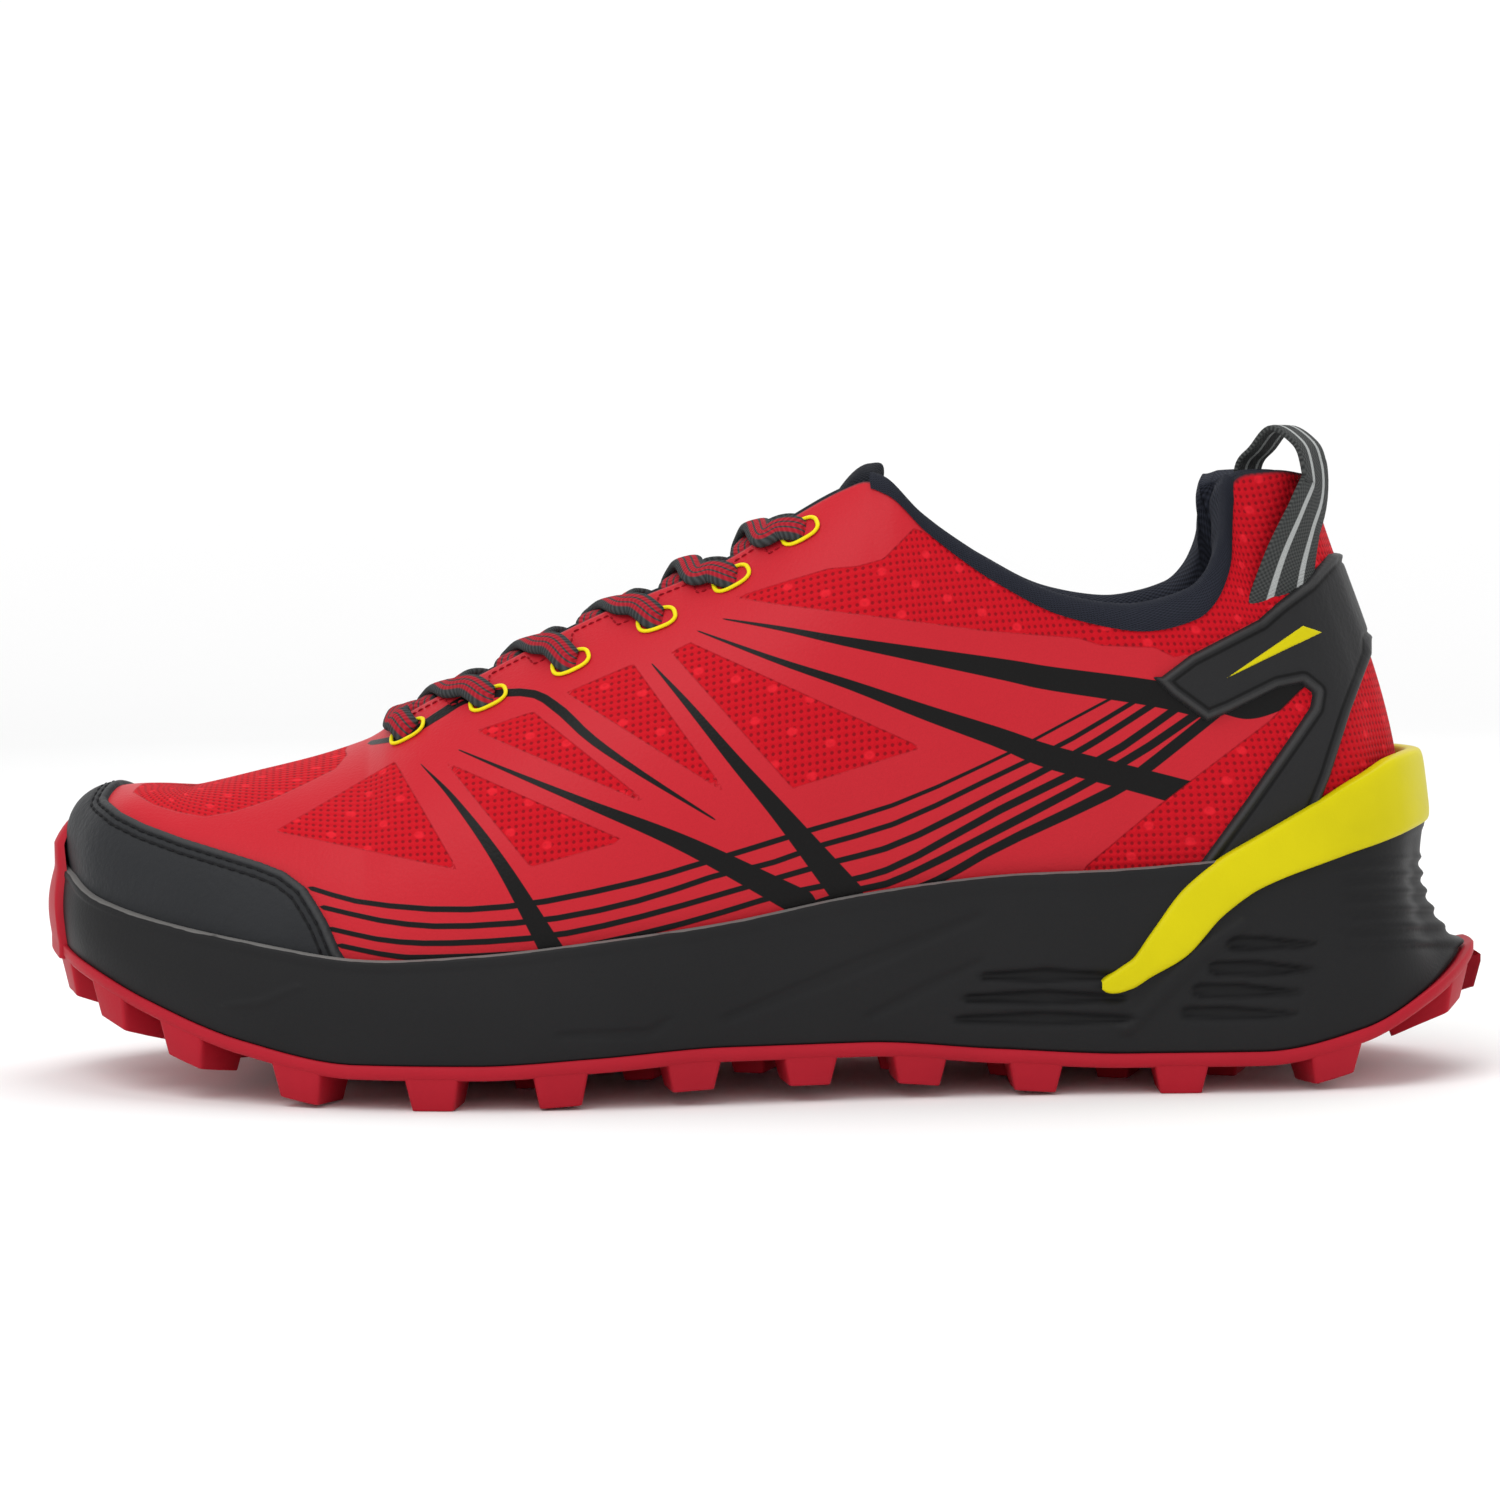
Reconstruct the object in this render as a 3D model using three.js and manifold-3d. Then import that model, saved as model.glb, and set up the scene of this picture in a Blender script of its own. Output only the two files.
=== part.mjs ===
// A low trail shoe for the left foot, in millimetres. The toe points along -X, the outer side of the
// foot is on -Y, and the sole stands on z = 0. Every curved piece is worked out from one outline of
// the sole, one table of its heights and one line of the upper's top edge, so the pieces follow the
// same sizes and keep one clearance between them.
import * as THREE from "three";
import { mergeVertices } from "three/addons/utils/BufferGeometryUtils.js";
import Module from "manifold-3d";

const wasm = await Module();
wasm.setup();

// Driving sizes
const SOLE_LENGTH = 298;
const BALL_WIDTH = 108;
const HEEL_WIDTH = 78;
const SOLE_HEIGHT = 52; // floor to the top of the sole at the back of the heel
const COLLAR_HEIGHT = 124; // floor to the top of the heel tab
const GAP = 0.3; // clearance between pieces that meet
const WALL = 2.5; // upper: mesh, film and lining together
const RIM = 3.2; // wall of the midsole that stands round the upper
const RIM_BACK = 5; // the same behind the heel, where the clip is let in
const TREAD_BASE = 2.8; // rubber sheet under the midsole
const LUG_HEIGHT = 6.4;
const HEEL_LUG_SHARE = 0.88; // height of the heel's lugs as a share of that
const LUG_LENGTH = 11;
const LUG_DEPTH = 15;
const LUG_DRAFT = 1.2; // how much a lug narrows towards the ground, on each side
const BUMPER = 1.8; // rubber that the outsole turns up over the toe
const BUMPER_TOP = 55;
const BUMPER_REACH = 1.1; // rows on either side of the toe's tip
const CLIP_THICKNESS = 3.4; // heel clip
const CLIP_PROUD = 0.9; // how far the clip stands out of the midsole
const OVERLAY = 1.2; // toe cap and heel counter
const INSOLE = 4.5;
const BINDING = 3.8; // padded edge above the upper at the ankle
const PADDING = 5; // collar padding inside the upper
const PADDING_BACK = 7.5; // the same behind the heel
const PADDING_DEPTH = 30;
const TONGUE_THIN = 2.6;
const TONGUE_PADDED = 5.5;
const TIP_REACH = 8; // how far the tongue's tip goes on behind the last eyelet
const TIP_RISE = 8.5;
const EYELET_HOLE = 3.9;
const EYELET_BORE = 2.9;
const EYELET_FLANGE = 4.7;
const EYELET_RISE = 1.1;
const LACE_WIDTH = 6.4;
const LACE_THICKNESS = 2.4;
const LACE_END = 0.36; // where a crossing ends, as a share of the way between two eyelets
const LOOP_WIDTH = 15;
const LOOP_WEBBING = 1.4;
const LOOP_TURN = 1.15; // rows that the pull loop's top stands off the back of the heel
const LOOP_SLANT = 0.85; // rows that its lower end stands further off
const LOOP_REACH = 9; // how far the pull loop stands above the heel tab

// Number of stations and rows in the lofted pieces
const SOLE_STATIONS = 52;
const UPPER_ROWS = 6;
const WALL_ROWS = 11;

// Sole outline and heights: one row for each section from the toe to the heel. along is a share of
// the sole's length, lateral and medial are shares of its width there, and the heights are shares of
// SOLE_HEIGHT: bottom is the midsole's underside, rim its top edge and bed the floor of its cup.
// inset is how far the rim leans in from the outline, as a share of HEEL_WIDTH.
const SECTIONS = table(
  ["along", "lateral", "medial", "bottom", "rim", "bed", "inset"],
  [
    [0.0, 0.111, 0.111, 0.577, 0.846, 0.74, 0.012],
    [0.012, -0.02, 0.222, 0.548, 0.825, 0.73, 0.012],
    [0.035, -0.15, 0.315, 0.498, 0.757, 0.67, 0.012],
    [0.08, -0.27, 0.412, 0.39, 0.687, 0.555, 0.03],
    [0.15, -0.38, 0.48, 0.254, 0.621, 0.452, 0.036],
    [0.23, -0.458, 0.495, 0.176, 0.565, 0.394, 0.032],
    [0.31, -0.491, 0.458, 0.175, 0.583, 0.394, 0.032],
    [0.39, -0.486, 0.389, 0.198, 0.629, 0.423, 0.032],
    [0.48, -0.45, 0.321, 0.227, 0.692, 0.471, 0.032],
    [0.57, -0.438, 0.314, 0.227, 0.785, 0.529, 0.036],
    [0.66, -0.459, 0.369, 0.188, 0.844, 0.577, 0.041],
    [0.75, -0.496, 0.46, 0.161, 0.862, 0.606, 0.054],
    [0.84, -0.5, 0.494, 0.161, 0.904, 0.615, 0.07],
    [0.91, -0.449, 0.451, 0.238, 0.962, 0.615, 0.09],
    [0.96, -0.34, 0.346, 0.375, 0.99, 0.615, 0.108],
    [0.99, -0.167, 0.167, 0.47, 1.0, 0.615, 0.118],
    [1.0, 0.0, 0.0, 0.51, 1.0, 0.615, 0.12],
  ],
);
const ROWS = SECTIONS.along.length - 1; // the loop runs from the toe, 0, to the heel, ROWS, and back
const LOOP = 2 * ROWS;
const TOE_FAN = 3; // up to this row the ribs of the toe meet in one point
const CLOSED_TO = 5; // up to this row the vamp is closed over the foot
const LACED_TO = 9.15; // row of the eyestay's top corner

// Top line of the upper: ridge of the vamp, edge of the throat, then the collar. at is the row of the
// section that the rib starts from. along is a share of SOLE_LENGTH, middle and half are shares of
// BALL_WIDTH, height is a share of COLLAR_HEIGHT. slope is how far the surface leans from upright
// there, in degrees, low and high are how far the rib keeps its first and last direction, as shares
// of its length, and lean is the rib's outward lean where it starts, in degrees.
const TOP_LINE = table(
  ["at", "along", "middle", "half", "height", "slope", "low", "high", "lean"],
  [
    [0, 0.1, 0.083, 0, 0.489, 96, 0.6, 0.7, 14],
    [TOE_FAN, 0.1, 0.083, 0, 0.489, 93, 0.5, 0.46, 8],
    [4, 0.144, 0.069, 0, 0.515, 89, 0.42, 0.42, 6],
    [4.6, 0.191, 0.046, 0, 0.543, 86, 0.4, 0.4, 6],
    [CLOSED_TO, 0.225, 0.032, 0, 0.57, 80, 0.4, 0.36, 6],
    [5.12, 0.231, 0.028, 0.028, 0.577, 77, 0.4, 0.35, 6],
    [5.3, 0.242, 0.023, 0.069, 0.595, 72, 0.4, 0.33, 6],
    [5.6, 0.267, 0.014, 0.088, 0.631, 66, 0.4, 0.31, 6],
    [6, 0.305, 0.005, 0.093, 0.677, 61, 0.42, 0.29, 6],
    [7, 0.389, 0, 0.102, 0.777, 57, 0.44, 0.27, 6],
    [8, 0.4765, 0, 0.116, 0.863, 56, 0.45, 0.26, 6],
    [8.6, 0.527, 0, 0.13, 0.938, 52, 0.46, 0.26, 6],
    [9, 0.562, 0, 0.148, 0.982, 45, 0.46, 0.26, 5],
    [LACED_TO, 0.576, 0, 0.162, 0.993, 38, 0.46, 0.26, 5],
    [9.35, 0.59, 0, 0.19, 0.982, 30, 0.46, 0.26, 5],
    [9.7, 0.617, 0, 0.222, 0.919, 24, 0.46, 0.26, 5],
    [10.2, 0.663, 0, 0.245, 0.838, 18, 0.46, 0.28, 4],
    [10.8, 0.711, 0, 0.255, 0.781, 14, 0.46, 0.3, 4],
    [11.3, 0.762, 0, 0.255, 0.757, 13, 0.46, 0.3, 4],
    [11.9, 0.8, 0, 0.245, 0.777, 13, 0.46, 0.3, 4],
    [12.3, 0.817, 0, 0.234, 0.823, 12, 0.46, 0.28, 4],
    [12.7, 0.8235, 0, 0.227, 0.879, 11, 0.46, 0.26, 4],
    [13.1, 0.8245, 0, 0.222, 0.944, 10, 0.46, 0.26, 4],
    [13.35, 0.8275, 0, 0.218, 0.984, 10, 0.46, 0.26, 4],
    [13.7, 0.8385, 0, 0.209, 0.997, 11, 0.46, 0.26, 4],
    [14.3, 0.8615, 0, 0.171, 1.0, 11, 0.46, 0.26, 4],
    [15, 0.8805, 0, 0.102, 0.996, 13, 0.44, 0.28, 7],
    [ROWS, 0.889, 0, 0, 0.994, 14, 0.42, 0.28, 8],
  ],
);

// Overlays, drawn from the side: x is a share of SOLE_LENGTH from the middle of the shoe and z a share
// of COLLAR_HEIGHT. The toe cap ends on its curved rear edge.
const CAP = [
  [-0.52, 0.2],
  [-0.52, 0.56],
  [-0.449, 0.56],
  [-0.452, 0.505],
  [-0.455, 0.487],
  [-0.452, 0.468],
  [-0.443, 0.45],
  [-0.425, 0.432],
  [-0.399, 0.413],
  [-0.372, 0.395],
  [-0.345, 0.376],
  [-0.33, 0.36],
  [-0.316, 0.333],
  [-0.307, 0.3],
  [-0.298, 0.25],
  [-0.29, 0.2],
];

// Heel clip: top and bottom edges at rows of the sole, as shares of SOLE_HEIGHT.
const CLIP_EDGE = table(
  ["at", "low", "high"],
  [
    [10.78, 0.4, 0.43],
    [11.0, 0.41, 0.52],
    [11.15, 0.455, 0.62],
    [11.4, 0.53, 0.79],
    [11.7, 0.69, 0.91],
    [12.0, 0.785, 0.985],
    [12.5, 0.86, 1.09],
    [13.2, 0.925, 1.2],
    [14, 0.965, 1.27],
    [15, 0.99, 1.285],
    [ROWS, 1.0, 1.285],
  ],
);

// Heel counter: a hooked overlay in the same measures. Its top bar runs round the back of the heel.
const COUNTER = [
  [0.283, 0.702],
  [0.302, 0.734],
  [0.351, 0.797],
  [0.392, 0.851],
  [0.41, 0.877],
  [0.47, 0.877],
  [0.47, 0.722],
  [0.442, 0.722],
  [0.434, 0.7],
  [0.42, 0.61],
  [0.404, 0.5],
  [0.386, 0.4],
  [0.29, 0.32],
  [0.312, 0.395],
  [0.349, 0.508],
  [0.38, 0.606],
  [0.395, 0.65],
  [0.396, 0.672],
  [0.386, 0.684],
  [0.369, 0.676],
  [0.337, 0.644],
  [0.319, 0.634],
  [0.309, 0.638],
];

// Places along the sole's edge where a lug stands, as shares of the sole's length.
const EDGE_LUGS = [
  0.052, 0.107, 0.189, 0.281, 0.367, 0.4555, 0.5335, 0.607, 0.6855, 0.784, 0.89,
];
const HEEL_LUGS = [14.7, ROWS];
const TOE_LUGS = [1.15];
const CENTRE_LUGS = [0.13, 0.2, 0.275, 0.35, 0.425, 0.5, 0.6, 0.675, 0.75, 0.825, 0.9];
const CENTRE_LUG_LENGTH = 9;
const CENTRE_LUG_WIDTH = 20;
const LACE_ROWS = [5.475, 6.108, 6.809, 7.496, 8.084, 8.642]; // rows that carry an eyelet
const EYELET_SHARES = [0.884, 0.852, 0.837, 0.867, 0.905, 0.93]; // how far up its rib each sits

// Numbers and tables

/** Turns rows of numbers into one array for each named column. */
function table(names, rows) {
  return Object.fromEntries(
    names.map((name, column) => [name, rows.map((row) => row[column])]),
  );
}

const mix = (a, b, t) => a + (b - a) * t;
const clamp = (value, low, high) => Math.min(high, Math.max(low, value));
const ease = (t) => {
  const s = clamp(t, 0, 1);
  return s * s * (3 - 2 * s);
};
const radians = THREE.MathUtils.degToRad;

/** Folds a place on the loop onto the lateral side: 0 at the toe, ROWS at the heel. */
const rowOf = (place) => {
  const turned = ((place % LOOP) + LOOP) % LOOP;
  return Math.min(turned, LOOP - turned);
};
const sideOf = (place) => (((place % LOOP) + LOOP) % LOOP > ROWS ? 1 : -1);

/** A smooth closed curve through the sections' values, lateral side first and medial side back. */
function roundCurve(lateral, medial = lateral) {
  const ring = [...lateral, ...medial.slice(1, -1).reverse()];
  return (place) => {
    const at = ((place % LOOP) + LOOP) % LOOP;
    const i = Math.floor(at);
    const t = at - i;
    const [a, b, c, d] = [-1, 0, 1, 2].map((k) => ring[(i + k + LOOP) % LOOP]);
    return (
      b +
      0.5 *
        t *
        (c - a + t * (2 * a - 5 * b + 4 * c - d + t * (3 * (b - c) + d - a)))
    );
  };
}

/** A curve through knots that never swings past its values, level at its ends when mirrored is 1. */
function steadyCurve(knots, values, mirrored = 1) {
  const last = knots.length - 1;
  const secant = knots.slice(1).map((k, i) => (values[i + 1] - values[i]) / (k - knots[i]));
  const tangent = (i) => {
    const before = i > 0 ? secant[i - 1] : -mirrored * secant[0];
    const after = i < last ? secant[i] : -mirrored * secant[last - 1];
    return before * after > 0 ? (2 * before * after) / (before + after) : 0;
  };
  return (at) => {
    const x = clamp(at, knots[0], knots[last]);
    const i = clamp(knots.findIndex((k) => k > x) - 1, 0, last - 1) || 0;
    const k = x >= knots[last] ? last - 1 : i;
    const width = knots[k + 1] - knots[k];
    const t = (x - knots[k]) / width;
    const rise = values[k + 1] - values[k];
    return (
      values[k] +
      rise * t * t * (3 - 2 * t) +
      width * t * (1 - t) * ((1 - t) * tangent(k) - t * tangent(k + 1))
    );
  };
}

// The sole's outline and heights

const xOf = (share) => (share - 0.5) * SOLE_LENGTH;
const widthAt = (share) => mix(BALL_WIDTH, HEEL_WIDTH, ease((share - 0.45) / 0.35));
const acrossOf = (name) => SECTIONS[name].map((v, i) => v * widthAt(SECTIONS.along[i]));
const outlineX = roundCurve(SECTIONS.along.map(xOf));
const outlineY = roundCurve(acrossOf("lateral"), acrossOf("medial"));
const insetAt = roundCurve(SECTIONS.inset.map((v) => v * HEEL_WIDTH));
const rimAt = roundCurve(SECTIONS.rim.map((v) => v * SOLE_HEIGHT));
const heightAlong = (name) =>
  steadyCurve(SECTIONS.along.map(xOf), SECTIONS[name].map((v) => v * SOLE_HEIGHT), -1);
const bottomAt = heightAlong("bottom");
const bedAt = heightAlong("bed");
const middleAt = (x) => 0.5 * (outlineY(rowAt(x)) + outlineY(LOOP - rowAt(x)));

/** The row of the section whose outline stands at x. */
function rowAt(x) {
  let [low, high] = [0, ROWS];
  for (let step = 0; step < 40; step++) {
    const half = (low + high) / 2;
    if (outlineX(half) < x) low = half;
    else high = half;
  }
  return (low + high) / 2;
}

/** The outline's outward direction at a place on the loop. */
function outwardAt(place) {
  const step = 0.05;
  const along = new THREE.Vector3(
    outlineX(place + step) - outlineX(place - step),
    outlineY(place + step) - outlineY(place - step),
    0,
  );
  return new THREE.Vector3(along.y, -along.x, 0).normalize();
}

/** A point at a place on the loop, moved in from the outline, at height z. */
function edgePoint(place, inset, z) {
  return new THREE.Vector3(outlineX(place), outlineY(place), z).addScaledVector(
    outwardAt(place),
    -inset,
  );
}

/** The point on the shoe's centre line that a station's bottom and top meet in. */
function centrePoint(place, heightOf, margin = 32) {
  const x = clamp(outlineX(place), xOf(0) + margin, xOf(1) - margin);
  return new THREE.Vector3(x, middleAt(x), heightOf(x));
}

// The upper's surface: a rib for each place on the loop, from the cup of the sole to the top line

const topCurve = (name, size = 1, mirrored = 1) =>
  steadyCurve(TOP_LINE.at, TOP_LINE[name].map((v) => v * size), mirrored);
const topX = steadyCurve(TOP_LINE.at, TOP_LINE.along.map(xOf));
const topMiddle = topCurve("middle", BALL_WIDTH);
const topHalf = topCurve("half", BALL_WIDTH, -1);
const topZ = topCurve("height", COLLAR_HEIGHT);
const topSlope = topCurve("slope");
const ribLow = topCurve("low");
const ribHigh = topCurve("high");
const ribLean = topCurve("lean");

const topPoint = (place) => {
  const row = rowOf(place);
  return new THREE.Vector3(topX(row), topMiddle(row) + sideOf(place) * topHalf(row), topZ(row));
};

/** How much of the heel's own side profile holds at a place: 1 behind the heel, 0 at the sides. */
const heelShare = (place) => ease((rowOf(place) - 13.2) / 1.6);

/** How far the cup's wall stands inside the outline. */
const cupInset = (place) => insetAt(place) + mix(RIM, RIM_BACK, heelShare(place));

/** Where a rib starts: just inside the midsole's rim, on the floor of its cup. */
function footPoint(place) {
  const foot = edgePoint(place, cupInset(place) + GAP, 0);
  foot.z = bedAt(foot.x) + 2 * GAP;
  return foot;
}

/** The upper's outer surface at a place on the loop and a share of the way up its rib. */
function upperPoint(place, share) {
  const row = rowOf(place);
  const foot = footPoint(place);
  const top = topPoint(place);
  const reach = foot.distanceTo(top);
  const lean = radians(ribLean(row));
  const slope = radians(topSlope(row));
  const inward = new THREE.Vector3(foot.x - top.x, foot.y - top.y, 0).normalize();
  const first = foot
    .clone()
    .addScaledVector(outwardAt(place), ribLow(row) * reach * Math.sin(lean));
  first.z += ribLow(row) * reach * Math.cos(lean);
  const second = top.clone().addScaledVector(inward, ribHigh(row) * reach * Math.sin(slope));
  second.z -= ribHigh(row) * reach * Math.cos(slope);
  return new THREE.CubicBezierCurve3(foot, first, second, top).getPoint(share);
}

/** How far up its rib the upper reaches height z. */
function shareAt(place, z) {
  let [low, high] = [0, 0.9];
  for (let step = 0; step < 24; step++) {
    const half = (low + high) / 2;
    if (upperPoint(place, half).z < z) low = half;
    else high = half;
  }
  return (low + high) / 2;
}

const ribDirection = (place, share, step = 0.01) =>
  upperPoint(place, share + step).sub(upperPoint(place, share - step)).normalize();

/** The upper's outward normal, away from its top and bottom edges. */
function upperNormal(place, share, step = 0.05) {
  const along = upperPoint(place + step, share).sub(upperPoint(place - step, share));
  return along.cross(ribDirection(place, share)).normalize();
}

// Closed meshes from grids of points

const keyOf = (p) => [p.x, p.y, p.z].map((v) => Math.round(v * 1e3)).join();

/** Collects faces, then welds them into one closed geometry without empty or doubled triangles. */
class Skin {
  constructor() {
    this.corners = [];
  }
  triangle(a, b, c) {
    this.corners.push(a, b, c);
  }
  quad(a, b, c, d) {
    const [p, q, r, s] = a.distanceTo(c) < b.distanceTo(d) + 1e-4 ? [a, b, c, d] : [b, c, d, a];
    this.triangle(p, q, r);
    this.triangle(p, r, s);
  }
  geometry() {
    const ids = new Map();
    const points = [];
    const idOf = (p) => {
      const key = keyOf(p);
      if (!ids.has(key)) {
        ids.set(key, points.length);
        points.push(p);
      }
      return ids.get(key);
    };
    const faces = new Map();
    for (let i = 0; i < this.corners.length; i += 3) {
      const face = this.corners.slice(i, i + 3).map(idOf);
      if (new Set(face).size < 3) continue;
      const name = [...face].sort((a, b) => a - b).join();
      if (faces.has(name)) faces.delete(name);
      else faces.set(name, face);
    }
    const made = new THREE.BufferGeometry();
    made.setAttribute(
      "position",
      new THREE.Float32BufferAttribute(points.flatMap((p) => p.toArray()), 3),
    );
    made.setIndex([...faces.values()].flat());
    return made;
  }
}

/** Area-weighted normals of a grid, shared by grid points that lie in one place. */
function gridNormals(grid, closed) {
  const sums = new Map();
  const add = (p, n) => {
    const key = keyOf(p);
    if (!sums.has(key)) sums.set(key, new THREE.Vector3());
    sums.get(key).add(n);
  };
  const columns = closed ? grid.length : grid.length - 1;
  for (let j = 0; j < columns; j++) {
    const next = grid[(j + 1) % grid.length];
    for (let i = 0; i < grid[j].length - 1; i++) {
      const [a, b, c, d] = [grid[j][i], next[i], next[i + 1], grid[j][i + 1]];
      const normal = c.clone().sub(a).cross(d.clone().sub(b));
      [a, b, c, d].forEach((p) => add(p, normal));
    }
  }
  return grid.map((column) => column.map((p) => sums.get(keyOf(p)).clone().normalize()));
}

/** A grid moved along its normals. */
function offsetGrid(grid, distance, closed) {
  const normals = gridNormals(grid, closed);
  return grid.map((column, j) =>
    column.map((p, i) => p.clone().addScaledVector(normals[j][i], distance)),
  );
}

/** A closed wall between an outer and an inner grid whose columns run upwards. */
function wallBetween(outer, inner, closed = false) {
  const skin = new Skin();
  const last = outer[0].length - 1;
  const columns = closed ? outer.length : outer.length - 1;
  for (let j = 0; j < columns; j++) {
    const k = (j + 1) % outer.length;
    for (let i = 0; i < last; i++) {
      skin.quad(outer[j][i], outer[k][i], outer[k][i + 1], outer[j][i + 1]);
      skin.quad(inner[k][i], inner[j][i], inner[j][i + 1], inner[k][i + 1]);
    }
    skin.quad(outer[j][last], outer[k][last], inner[k][last], inner[j][last]);
    skin.quad(outer[k][0], outer[j][0], inner[j][0], inner[k][0]);
  }
  if (!closed) {
    const end = outer.length - 1;
    for (let i = 0; i < last; i++) {
      skin.quad(inner[0][i], outer[0][i], outer[0][i + 1], inner[0][i + 1]);
      skin.quad(outer[end][i], inner[end][i], inner[end][i + 1], outer[end][i + 1]);
    }
  }
  return skin.geometry();
}

/** A closed body from sections that run from its bottom centre, out, up and back to its top centre. */
function bodyOf(sections) {
  const skin = new Skin();
  sections.forEach((section, j) => {
    const next = sections[(j + 1) % sections.length];
    for (let i = 0; i < section.length - 1; i++) {
      skin.quad(section[i], next[i], next[i + 1], section[i + 1]);
    }
  });
  return skin.geometry();
}

/** A closed tube through sections, each a ring of points, with its ends filled. */
function tubeOf(rings) {
  const skin = new Skin();
  for (let j = 0; j < rings.length - 1; j++) {
    rings[j].forEach((p, i) => {
      const k = (i + 1) % rings[j].length;
      skin.quad(p, rings[j][k], rings[j + 1][k], rings[j + 1][i]);
    });
  }
  const [first, last] = [rings[0], rings[rings.length - 1]];
  for (let i = 1; i < first.length - 1; i++) {
    skin.triangle(first[0], first[i + 1], first[i]);
    skin.triangle(last[0], last[i], last[i + 1]);
  }
  return skin.geometry();
}

// Solids and back

function solidOf(geometry) {
  const bare = geometry.clone();
  bare.deleteAttribute("normal");
  bare.deleteAttribute("uv");
  const merged = mergeVertices(bare, 1e-4);
  return new wasm.Manifold(
    new wasm.Mesh({
      numProp: 3,
      vertProperties: new Float32Array(merged.attributes.position.array),
      triVerts: new Uint32Array(merged.index.array),
    }),
  );
}

function geometryOf(solid) {
  const mesh = solid.getMesh();
  const made = new THREE.BufferGeometry();
  made.setAttribute("position", new THREE.Float32BufferAttribute([...mesh.vertProperties], 3));
  made.setIndex([...mesh.triVerts]);
  return made;
}

/** Keeps the largest body of a solid, so that a cut leaves no crumbs. */
function largest(solid) {
  return solid.decompose().reduce((a, b) => (a.volume() > b.volume() ? a : b));
}

const piece = (name, geometry, look) => {
  const made = new THREE.Mesh(
    geometry,
    new THREE.MeshStandardMaterial({ color: look[0], roughness: look[1], metalness: 0 }),
  );
  made.name = name;
  return made;
};

const BLACK_FOAM = [0x2b2b2c, 0.72];
const RED_RUBBER = [0xb3202f, 0.6];
const YELLOW_CLIP = [0xd6c90a, 0.45];
const RED_MESH = [0xd01626, 0.7];
const BLACK_COAT = [0x2a2a2b, 0.62];
const BLACK_KNIT = [0x26282c, 0.9];
const YELLOW_RING = [0xe6dc1e, 0.4];
const LACE_YARN = [0x4a2024, 0.85];

// The sole

const stations = Array.from({ length: SOLE_STATIONS }, (_, i) => (i * LOOP) / SOLE_STATIONS);

/** How the midsole's side stands out: a lip at the rim and ribs round the heel. */
function sideRelief(place, share, rib) {
  const row = rowOf(place);
  const lip = 0.6 * ease((share - 0.9) / 0.06);
  const heel = ease((row - 11.6 - 2 * (1 - share)) / 0.5) * ease((0.86 - share) / 0.1);
  return lip + (rib % 2 ? 0.5 : -0.5) * heel * ease(share / 0.12);
}

/** The midsole's side: it leans in from the outline to the rim, full at the sides, hollow behind. */
function sidePoint(place, share, proud = 0) {
  const low = bottomAt(outlineX(place));
  const within = clamp(share, 0, 1);
  const heel = heelShare(place);
  const swell = mix(0.9, -2.5, heel) * Math.sin(Math.PI * within);
  const tuck = 1.6 * heel;
  const lean = tuck + (insetAt(place) - tuck) * within ** mix(1.25, 0.45, heel);
  return edgePoint(place, lean - swell - proud, mix(low, rimAt(place), share));
}

/** A point inside the outline whose height comes from a height line. */
function levelPoint(place, inset, heightOf, rise = 0) {
  const p = edgePoint(place, inset, 0);
  p.z = heightOf(p.x) + rise;
  return p;
}

/** The midsole's outside, grown evenly, as one body without its cup. */
function midsoleForm(grow) {
  const rimHeight = (x) => rimAt(rowAt(x)) + grow;
  const sections = stations.map((place) => {
    const wall = Array.from({ length: WALL_ROWS + 1 }, (_, i) => {
      const share = i / WALL_ROWS;
      const heel = heelShare(place);
      const spread = i ? grow : grow * (1 + heel);
      const p = sidePoint(place, share, sideRelief(place, share, i) + spread);
      p.z += i ? grow * mix(2 * share - 1, 1, heel) : -grow;
      return p;
    });
    return [
      centrePoint(place, (x) => bottomAt(x) - grow),
      levelPoint(place, 14, bottomAt, -grow),
      ...wall,
      centrePoint(place, rimHeight),
    ];
  });
  return solidOf(bodyOf(sections));
}

/** The room inside the midsole's rim, down to its bed. */
function cup() {
  const sections = stations.map((place) => [
    centrePoint(place, bedAt),
    levelPoint(place, cupInset(place) + 11, bedAt),
    levelPoint(place, cupInset(place), bedAt),
    ...[rimAt(place), rimAt(place) + 9].map((z) => {
      const share = shareAt(place, z);
      return upperPoint(place, share).addScaledVector(upperNormal(place, share), 2.2 * GAP);
    }),
    centrePoint(place, () => SOLE_HEIGHT + 15),
  ]);
  return solidOf(bodyOf(sections));
}

/** A cup of foam: flat side below, ribbed side wall, rim, and a bed that the upper stands in. */
function midsole(clip) {
  return largest(midsoleForm(0).subtract(cup()).subtract(clip));
}

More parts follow.
